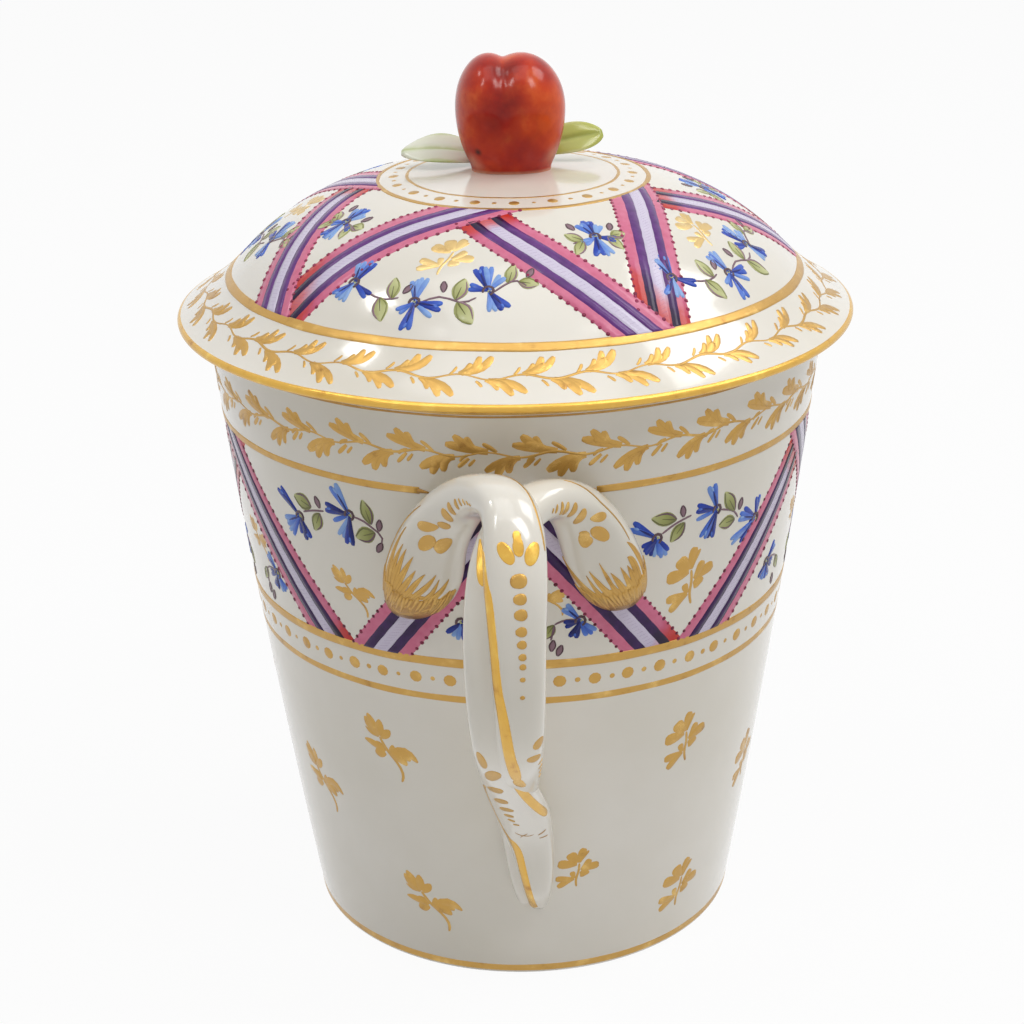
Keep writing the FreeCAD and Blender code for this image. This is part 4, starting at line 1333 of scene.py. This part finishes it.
def foliage(ground, root, tip, width, side, shift):
    """A green leaf with a brown crescent along one side, and its midrib."""
    # lighter leaves on the cover: painted light
    pale = ground.lit_gain("leaf")
    at = beside(ground, root, tip)
    ground.mark("leaf", (root, tip), width * 1.12, leaf, 3, 0.5 - pale, shift, -0.7, 11)
    bulges = ((0.1, 0.16), (0.45, 0.43), (0.9, 0.14))
    crescent = (root, *(at(share, width * aside * side) for share, aside in bulges))
    ground.mark("brown", crescent, width * 0.2, spike, 4, 0.6 - 2 * pale, shift)
    edge = (root, at(0.5, -width * 0.44 * side), tip)
    ground.mark("leaf", edge, width * 0.12, line, 4, 1.0 - pale, shift)
    ground.mark("leaf", (root, at(0.6)), width * 0.14, taper, 4, 1.1, shift)


def bud(ground, u, v, turn):
    """A small brown bud, outlined."""
    spot = Spot(ground.surface, u, v, 1.0, turn)
    coat = ground.coat("brown")
    spot.mark(coat, ((-0.95, 0), (0.95, 0)), 0.95, leaf, 3, 0.15)
    for side in (1, -1):
        points = ((-0.9, 0.05 * side), (0, 0.42 * side), (0.9, 0.05 * side))
        spot.mark(coat, points, 0.2, line, 4, 0.9)


def spray(ground, plan, shift):
    """A spray from its plan of stems, leaves, buds and flowers, a turn further round.

    A leaf is its root, tip, width and the side of its crescent, a bud its place and turn, and a
    flower the place of its cup and its petals.
    """
    for points in plan["stems"]:
        ground.mark("brown", pairs(points), 0.3, line, 3.4, 0.35, shift)
    for *ends, width, side in plan["leaves"]:
        foliage(ground, *pairs(ends), width, side, shift)
    for u, v, turn in plan["buds"]:
        bud(ground, u + shift, v, turn)
    for u, v, *petals in plan["flowers"]:
        bloom(ground, (u, v), petals, shift)
        curl(ground, u + shift, v)


LEFT_SPRAY = {
    "stems": (
        (-43.9, 71.5, -41, 72.2, -38.2, 72.6),
        (-31.5, 72.9, -28.6, 72.3, -27, 71.5, -25.7, 70.7, -26.1, 69.3),
    ),
    "leaves": (
        (-41.4, 72.6, -45.9, 73.6, 2.3, -1), (-39.4, 72.1, -41.4, 69.2, 1.9, 1),
        (-27.7, 72.2, -29.1, 75.7, 1.8, -1), (-27, 71.1, -31.4, 69.9, 2.2, 1),
    ),
    "buds": ((-39.6, 73.7, 110), (-26, 72.3, 80), (-26.4, 69, 60)),
    "flowers": (
        (-45, 70.6, (-50.6, 74, 1.35, 0.85), (-49.9, 68.9, 1.4, 0.25), (-48.6, 67.3, 1.2, 0.35),
         (-43.3, 67.4, 1.5, 0.95), (-45.4, 67.8, 0.9, 0.8)),
        (-32.2, 73, (-38, 73.4, 1.4, 0.85), (-36.4, 71.5, 0.9, 0.3), (-35.3, 77, 1.6, 0.3),
         (-34.9, 69.4, 1.1, 0.15), (-33, 68.4, 1.4, 0.85)),
    ),
}
RIGHT_SPRAY = {
    "stems": ((26.6, 70.2, 29.1, 71.2, 33, 72), (40, 71.5, 42.2, 71, 44.1, 70.3, 45.3, 69.2)),
    "leaves": (
        (29.7, 71.9, 24.2, 72.8, 1.9, -1), (31.5, 71.2, 28.6, 68.7, 1.9, 1),
        (44.1, 70.5, 40.7, 73.9, 1.9, -1), (44.4, 69.2, 40, 69.1, 1.9, 1),
    ),
    "buds": ((30.9, 72.9, 100), (45.6, 71.2, 80)),
    "flowers": (
        (25.8, 69.7, (20.3, 72.3, 1.4, 0.6), (22.7, 68.4, 1.2, 0.95), (24, 67.4, 1.1, 0.8),
         (25.9, 67, 1.1, 0.2), (27.6, 66.6, 1.1, 0.3), (28.5, 67.5, 0.9, 0.6)),
        (39.1, 71.7, (33.8, 72.8, 1.3, 0.9), (33.9, 71, 0.9, 0.35), (37, 75.8, 1.5, 0.25),
         (36, 68, 1.3, 0.35), (37.9, 67.4, 1.3, 0.95)),
        (51.2, 67.9, (49, 67.6, 0.7, 1), (45.5, 69.3, 1.3, 0.4), (46.8, 70.4, 1, 0.6),
         (51.3, 71.2, 1.1, 0.5), (43.8, 65.7, 1.2, 0.3), (46.4, 65.4, 1.2, 0.9)),
    ),
}
UNDER_SPRAY = {
    "stems": (
        (6.2, 58.8, 8.5, 59.4, 11, 59.2), (6.2, 58.8, 5.6, 56.4),
        (-6.2, 58.8, -9, 59.4, -11.2, 59.2),
    ),
    "leaves": ((6.2, 58.8, 4.2, 56.6, 1.5, 1), (-6.2, 58.8, -4.6, 56.4, 1.5, -1)),
    "buds": ((5.9, 55.6, 80), (7.3, 54.8, 70), (-6.4, 55.2, 95)),
    "flowers": (
        (11.3, 59.1, (7.9, 61.6, 1.3, 0.4), (8, 58.7, 1.2, 0.9), (9.8, 56.6, 1.3, 0.95),
         (12.6, 56.5, 1, 0.25), (14.2, 57, 1.1, 0.35)),
        (-11.3, 59.1, (-7.9, 61.4, 1.3, 0.5), (-8.3, 58.4, 1.2, 0.85), (-10.2, 56.4, 1.3, 0.6),
         (-12.8, 56.6, 1.1, 0.2), (-14.4, 57.4, 1, 0.8)),
    ),
}
COVER_SPRAY = {
    "stems": (
        (-35.6, 36.4, -31, 37.6, -27, 37.9, -24.5, 37.4),
        (-19.6, 37.8, -15, 36.8, -11, 37.5, -8, 36.6), (-4.6, 35.8, -2.2, 34.6, 0, 34, 2.6, 35),
    ),
    "leaves": (
        (-29, 37.7, -26.6, 41.2, 2.1, 1), (-26.2, 37.8, -27.4, 34.4, 1.8, -1),
        (-12.4, 37.2, -11.2, 33.7, 2, 1), (-12, 37.4, -8.4, 40.6, 2.2, -1),
        (-1.6, 34.5, -0.2, 31.2, 1.6, 1), (0.6, 34.2, 5.2, 34.7, 1.8, 1),
    ),
    "buds": ((-23.4, 36, 60), (-15.6, 35.2, 100), (3.4, 32.8, 60)),
    "flowers": (
        (-36.8, 36.2, (-38.5, 32.6, 1.4, 0.4), (-35, 32.2, 1.3, 0.7), (-40.2, 38.8, 1.3, 0.6),
         (-37.6, 39.4, 1.1, 0.2), (-31.6, 37.9, 1.2, 0.95)),
        (-20.9, 37.9, (-22.6, 34.3, 1.3, 0.5), (-20.4, 33.9, 1.2, 0.3), (-15, 38.3, 1.4, 0.9),
         (-16.4, 40, 1, 0.3), (-21.4, 42.2, 1.4, 0.8), (-24, 39.6, 1.1, 0.6)),
        (-5.7, 35.6, (-8.8, 31.8, 1.4, 0.8), (-6.3, 31.4, 1.2, 0.4), (-2.8, 33.2, 1.2, 0.4),
         (-1.8, 38.4, 1.4, 0.9), (-4.6, 38.8, 1.1, 0.3), (-10.2, 35, 1.2, 0.9)),
    ),
}
COVER_V_SPRAY = {
    "stems": ((-7.4, 28, -4, 27.5, 0, 27.2, 4.6, 27.4, 8, 28),),
    "leaves": (
        (-3.8, 27.5, -8.6, 25.9, 1.7, 1), (-4, 27.6, -7.6, 30.2, 1.5, -1),
        (4.6, 27.3, 9.4, 27.2, 1.9, 1), (3.6, 27.3, 5.6, 30.2, 1.5, 1),
    ),
    "buds": ((6.6, 25.4, 60), (-5.6, 24.4, 110)),
    "flowers": (
        (0.2, 27, (-2.6, 23.9, 1.5, 0.5), (0.6, 23.3, 1.5, 0.8), (3.6, 24.6, 1.2, 0.3),
         (5.6, 28.2, 1.2, 0.9), (-1.6, 30.8, 1.4, 0.85), (1.6, 31, 1.1, 0.35),
         (-4.6, 28.2, 1.2, 0.6)),
    ),
}


def paint_sprays():
    """Sprays in every field between the ribbons. Those behind repeat the ones in front."""
    for number, turn in enumerate(CUP_TURNS[::2]):
        plan, home = (RIGHT_SPRAY, CUP_TURNS[2]) if number in (1, 3) else (LEFT_SPRAY, CUP_TURNS[0])
        spray(CUP, plan, turn - home)
    for turn in CUP_TURNS[1::2]:
        spray(CUP, UNDER_SPRAY, turn + 1.0)
    for turn in COVER_TURNS[1::2]:
        spray(COVER, COVER_SPRAY, turn + 13.0)
    for number, turn in enumerate(COVER_TURNS[::2]):
        spray(COVER, COVER_V_SPRAY, turn - (3.5 if number else 6.0))


# Gilding of the handle: marks on a strap, with places as the angle round it and the way along.
# Petals and short strokes run from root to tip, and feathers from the lobe's gilded end
LEFT_LOBE = (
    (3.1, 247, 20.6, 219, 21.6), (2, 256, 16.2, 254, 19.8), (1.9, 277, 16.6, 278, 20.4),
    (1.5, 240, 23.6, 266, 22.7), (1.25, 210, 26.7, 256, 24.9), (0.9, 196, 28.4, 240, 27.4),
    (0.6, 188, 30, 222, 29.6), (0.3, 186, 30.8, 208, 31), (0.24, 186, 31.7, 202, 32),
    (0.2, 188, 32.5, 198, 32.9), (0.18, 192, 33.2, 198, 33.5),
)
RIGHT_LOBE = (
    (2.4, 306, 19.9, 334, 20.6), (1.8, 274, 19.3, 260, 15.8), (2, 291, 15.8, 292, 19.3),
    (1.2, 330, 23.4, 274, 21.6), (0.95, 348, 25.2, 290, 24.3), (0.7, 354, 26.4, 306, 26.3),
    (0.55, 0, 27.4, -48, 27.1), (0.38, 0, 28.2, -24, 28.5), (0.24, -2, 28.9, -14, 29.2),
)
LEFT_FEATHER = (
    (2.3, 202, 7.3, 246, 5.4, 276, 5.3, 298, 7.7, 314, 9.9),
    (1.7, 234, 3.9, 268, 3.2, 288, 5.3, 304, 7.8), (2, 192, 9.2, 224, 6.6, 262, 5.1),
    (1.8, 230, 8, 264, 7.8, 284, 8.5), (1.2, 204, 7.1, 182, 10.6, 174, 15.2, 178, 22),
    (1.1, 216, 7.5, 202, 12.6, 196, 18), (1, 220, 7.5, 216, 11.9, 218, 15.7),
    (1, 226, 7.5, 228, 11.7, 230, 15.3), (1, 232, 7.5, 240, 11.2, 248, 14.6),
    (1, 242, 7.3, 250, 9.9, 258, 12.4), (0.95, 254, 7.3, 260, 9.4, 270, 12.1),
    (0.95, 264, 7.5, 272, 9.5, 282, 12.3), (0.85, 276, 7.8, 284, 9.4, 288, 11.6),
    (0.9, 286, 8.3, 296, 9.7, 304, 11.7),
)
RIGHT_FEATHER = (
    (2, 250, 6.3, 266, 4.8, 292, 4.8, 324, 6), (1.9, 254, 7.4, 270, 6.6, 292, 6.6, 324, 7.3),
    (1.5, 256, 4.2, 276, 3.4, 300, 3.9), (1.2, 326, 5.3, 342, 7.7, 336, 11, 324, 13.7),
    (1.1, 318, 5.3, 318, 8.2, 308, 11.4), (1, 308, 5.3, 306, 7.7, 302, 10.3),
    (1, 298, 5.5, 294, 7.7, 290, 10.5), (1, 284, 5.5, 280, 7.6, 274, 10.2),
    (0.95, 276, 5.6, 270, 8.2, 268, 12.4), (1, 266, 5.6, 258, 8.2, 250, 11.4),
    (1, 258, 5.8, 246, 7.9, 242, 10.8), (1.05, 252, 5.6, 228, 8.1, 208, 11.4, 190, 13.6),
)
# The gilded ends of the lobes: angles round the strap and how far the gold reaches at each
LEFT_CAP = ((160, 190, 215, 245, 275, 300, 320, 335), (9.5, 9, 8, 7.4, 7.6, 8.6, 9.4, 9.6))
RIGHT_CAP = ((190, 215, 245, 275, 305, 330, 350, 372), (9, 7.8, 6.8, 6.3, 6.4, 7, 8, 8.8))
FRONT_PETALS = ((1.6, 94, 44.4, 120, 42.2), (1.5, 86, 43.7, 92, 41.1), (1.75, 72, 44.6, 56, 42.2))
# Dots down the front: place and width
FRONT_DOTS = (
    (86, 46.1, 2.2), (84, 48, 1.75), (83, 49.7, 1.8), (83, 51.6, 1.6), (83, 53.1, 1.4),
    (83, 54.6, 1.2), (83, 55.8, 1.05), (84, 57.4, 0.85), (85, 59.8, 0.75),
)
LOW_LEFT = (
    (1.3, 132, 64.1, 120, 68), (2, 112, 71.7, 99, 68.4), (2, 122, 74.6, 92, 76),
    (1.7, 118, 79, 90, 79.8), (1.3, 114, 82.2, 88, 82.7), (0.85, 110, 84.5, 92, 85),
    (0.55, 106, 86.1, 94, 86.8), (0.35, 100, 87.8, 90, 88),
)
LOW_RIGHT = (
    (1.6, 50, 69.4, 34, 67.2), (1.8, 74, 71.2, 34, 71.9), (0.26, 40, 73.9, 16, 73.7),
    (0.24, 36, 75.6, 12, 75.6), (0.24, 32, 77.4, 10, 77.6), (0.2, 28, 79.4, 10, 79.6),
)
CREASE = (
    (0.2, 106, 91, 88, 91.9, 72, 91.4), (0.16, 98, 92.4, 84, 91), (0.3, 62, 91.9, 36, 91.1),
    (0.2, 62, 93, 34, 93.2),
)
MIDDLE_LINE = (
    174, 42.8, 162, 46.8, 149, 50.2, 143, 57.7, 136, 60.5, 120, 65.2, 110, 69.3, 97, 74.6, 88, 78,
    76, 80.4,
)


def paint_handle():
    """Petals, feathers, dots and lines of gold over the two straps."""
    plans = (
        (LEFT, "gilding", LEFT_LOBE, oval), (RIGHT, "gilding", RIGHT_LOBE, oval),
        (LEFT, "gilding", LEFT_FEATHER, streak), (RIGHT, "gilding", RIGHT_FEATHER, streak),
        # the front petals in the brighter gold: painted highlight
        (LEFT, "gold_bright", FRONT_PETALS, oval), (RIGHT, "gilding", LOW_LEFT, oval),
        (LEFT, "gilding", LOW_RIGHT, oval), (RIGHT, "gold_dark", CREASE, spike),
    )
    for strap, kind, marks, shape in plans:
        for number, (width, *points) in enumerate(marks):
            lift = 2.4 + 0.35 * number
            strap.mark(kind, pairs(points), width, shape, lift, steps=15, columns=9)
            if shape is streak:
                strap.mark("gold_dark", pairs(points), 0.2, spike, lift + 2, steps=15, columns=3)
    for u, v, width in FRONT_DOTS:
        points = ((u + 5.6 * width, v + 0.1), (u - 5.6 * width, v))
        LEFT.mark("gilding", points, width * 0.82, oval, 3)
    for strap, (turns, reach) in ((LEFT, LEFT_CAP), (RIGHT, RIGHT_CAP)):
        u = np.linspace(turns[0], turns[-1], 60)
        far = np.interp(u, turns, reach)
        share = np.r_[0, np.linspace(0.02, 0.98, 24), 1][:, None]
        v = 1.3 + share * (far - 1.3)
        strap.coat("gold_dark").lay(strap.surface, u + 0 * share, v, 2 * LAYER)
        for angle in np.arange(turns[0] + 6, turns[-1] - 4, 5.5):
            edge = np.interp(angle, turns, reach)
            root = (angle, edge + rng.uniform(-0.2, 0.7))
            points = (root, (angle + rng.uniform(-5, 5), edge - rng.uniform(1.8, 4.2)))
            strap.mark("gilding", points, 0.55, streak, rng.uniform(8.2, 8.8))
    lines = (
        (LEFT, (66, 30.0, 58, 33.5, 52, 36.1, 47, 38.6, 37, 41.0, 26, 43.0), 0.3),
        (RIGHT, (60, 25.6, 14, 22.9, -10, 19.2, -26, 13.5), 0.22),
        (RIGHT, (136, 75.9, 154, 81.2, 154, 88.5, 144, 92.5, 132, 95.0), 0.6),
    )
    for strap, points, width in lines:
        strap.mark("gilding", pairs(points), width, line, 3, steps=40)
    # the bands in the brighter gold: painted highlight along them
    bands = (
        (RIGHT, (134, 37.2, 124, 38.5, 116, 39.8, 100, 42.2), 2.0, drop),
        (LEFT, MIDDLE_LINE, 1.55, line),
        (RIGHT, (70, 68.0, 58, 71.6, 48, 76.4, 34, 81.9, 10, 87.5), 1.3, line),
        (RIGHT, (134, 94.0, 124, 97.8, 129, 102.5, 129, 107.0, 117, 111.8), 1.35, line),
    )
    for strap, points, width, shape in bands:
        strap.mark("gold_bright", pairs(points), width, shape, 3.2, steps=60, columns=9)


paint_lines()
paint_handle()
paint_ribbons()
garland(CUP, 83.7, 32, (-5.2, -11.5), (GARLAND_LEAF, GARLAND_UNDER), 0.35)
garland(COVER, 48.2, 34, (-9.6, -5.2), (FEATHER, FEATHER_UNDER), 0.4)
paint_sprigs()
paint_sprays()
for (part, kind), paint in COATS.items():
    paint.finish(f"{part}_{kind}", MATERIALS[kind])

# Camera: at the photograph's angle, in millimetres from the origin

LOOK_AT = Vector((-0.95, 0.0, 59.06))
CAMERA_DISTANCE = 324.28
CAMERA_RISE = math.radians(21.69)
CAMERA_ROLL = math.radians(-1.02)
FOCAL_PIXELS = 2200.0
FRAME_PIXELS = 1024
SENSOR = 36

forward = Vector((0, math.cos(CAMERA_RISE), -math.sin(CAMERA_RISE)))
level_up = Vector((0, math.sin(CAMERA_RISE), math.cos(CAMERA_RISE)))
level_right = Vector((1, 0, 0))
right = level_right * math.cos(CAMERA_ROLL) + level_up * math.sin(CAMERA_ROLL)
up = level_up * math.cos(CAMERA_ROLL) - level_right * math.sin(CAMERA_ROLL)
camera_data = bpy.data.cameras.new("camera")
camera_data.lens = FOCAL_PIXELS / FRAME_PIXELS * SENSOR
camera_data.sensor_width = SENSOR
camera_data.clip_start = 0.01
camera = in_scene("camera", camera_data)
place = (LOOK_AT - forward * CAMERA_DISTANCE) * MM
turned = Matrix((right, up, -forward)).transposed()
camera.matrix_world = Matrix.Translation(place) @ turned.to_4x4()
bpy.context.scene.camera = camera
bpy.context.scene.view_settings.view_transform = "Standard"

# Floor and light

FLOOR_REACH = 30.0
PLAIN_SHARE = 0.94
ROOM_LIGHT = 0.275
LAMP_TARGET = Vector((0, 0, 0.07))
# Soft boxes: azimuth from behind the camera, height, distance, width, height of the box, power
LAMPS = {
    "right_box": (105, 52, 1.0, 0.4, 0.4, 2.6),
    "left_box": (-97, 58, 1.0, 0.13, 0.13, 0.7),
    "front_right_box": (50, 54, 1.0, 0.22, 0.3, 2.0),
    "front_left_box": (-46, 56, 1.0, 0.08, 0.26, 1.1),
    "top_box": (10, 84, 1.2, 0.8, 0.8, 2.9),
}


def seen(tree):
    """1 for what the camera sees, straight or through a mirror or glass, else 0."""
    path = add(tree, "LightPath").outputs
    first = calc(tree, "MAXIMUM", path["Is Camera Ray"], path["Is Glossy Ray"])
    return calc(tree, "MAXIMUM", first, path["Is Transmission Ray"])


def add_floor():
    """A wide pale floor. Part of its white is plain, and the rest takes the object's shadow."""
    corners = np.array([(-1, -1, 0), (1, -1, 0), (1, 1, 0), (-1, 1, 0)]) * FLOOR_REACH
    mesh = bpy.data.meshes.new("floor")
    mesh.from_pydata(corners.tolist(), [], [(0, 1, 2, 3)])
    material, tree, shader = new_material("floor_white", (0.75, 0.75, 0.75), 0.9, specular=0.0)
    white = add(tree, "Emission", color=(1, 1, 1, 1), strength=1.0)
    both = add(tree, "MixShader")
    parts = calc(tree, "MULTIPLY", seen(tree), PLAIN_SHARE), shader.outputs[0], white.outputs[0]
    for value, socket in zip(parts, both.inputs):
        put(tree, value, socket)
    settle(tree, tree.nodes["Material Output"], surface=both.outputs[0])
    mesh.materials.append(material)
    floor = in_scene("floor", mesh)


def add_lamp(name, azimuth, height, distance, width, tall, power):
    """A soft box aimed at the middle of the cup."""
    data = bpy.data.lights.new(name, "AREA")
    data.shape = "RECTANGLE"
    data.size, data.size_y = width, tall
    data.energy = power
    lamp = in_scene(name, data)
    angle, lift = math.radians(azimuth), math.radians(height)
    way = Vector((math.sin(angle) * math.cos(lift), -math.cos(angle) * math.cos(lift), math.sin(lift)))
    lamp.location = LAMP_TARGET + way * distance
    lamp.rotation_euler = (-way).to_track_quat("-Z", "Y").to_euler()


def add_room():
    """White to the camera and in reflections, and a softer grey as the light that fills shadows."""
    world = bpy.data.worlds.new("room")
    world.use_nodes = True
    tree = world.node_tree
    strength = add(tree, "MapRange", value=seen(tree), to_min=ROOM_LIGHT, to_max=1.0).outputs["Result"]
    settle(tree, tree.nodes["Background"], color=(1, 1, 1, 1), strength=strength)
    bpy.context.scene.world = world


add_floor()
for name, values in LAMPS.items():
    add_lamp(name, *values)
add_room()
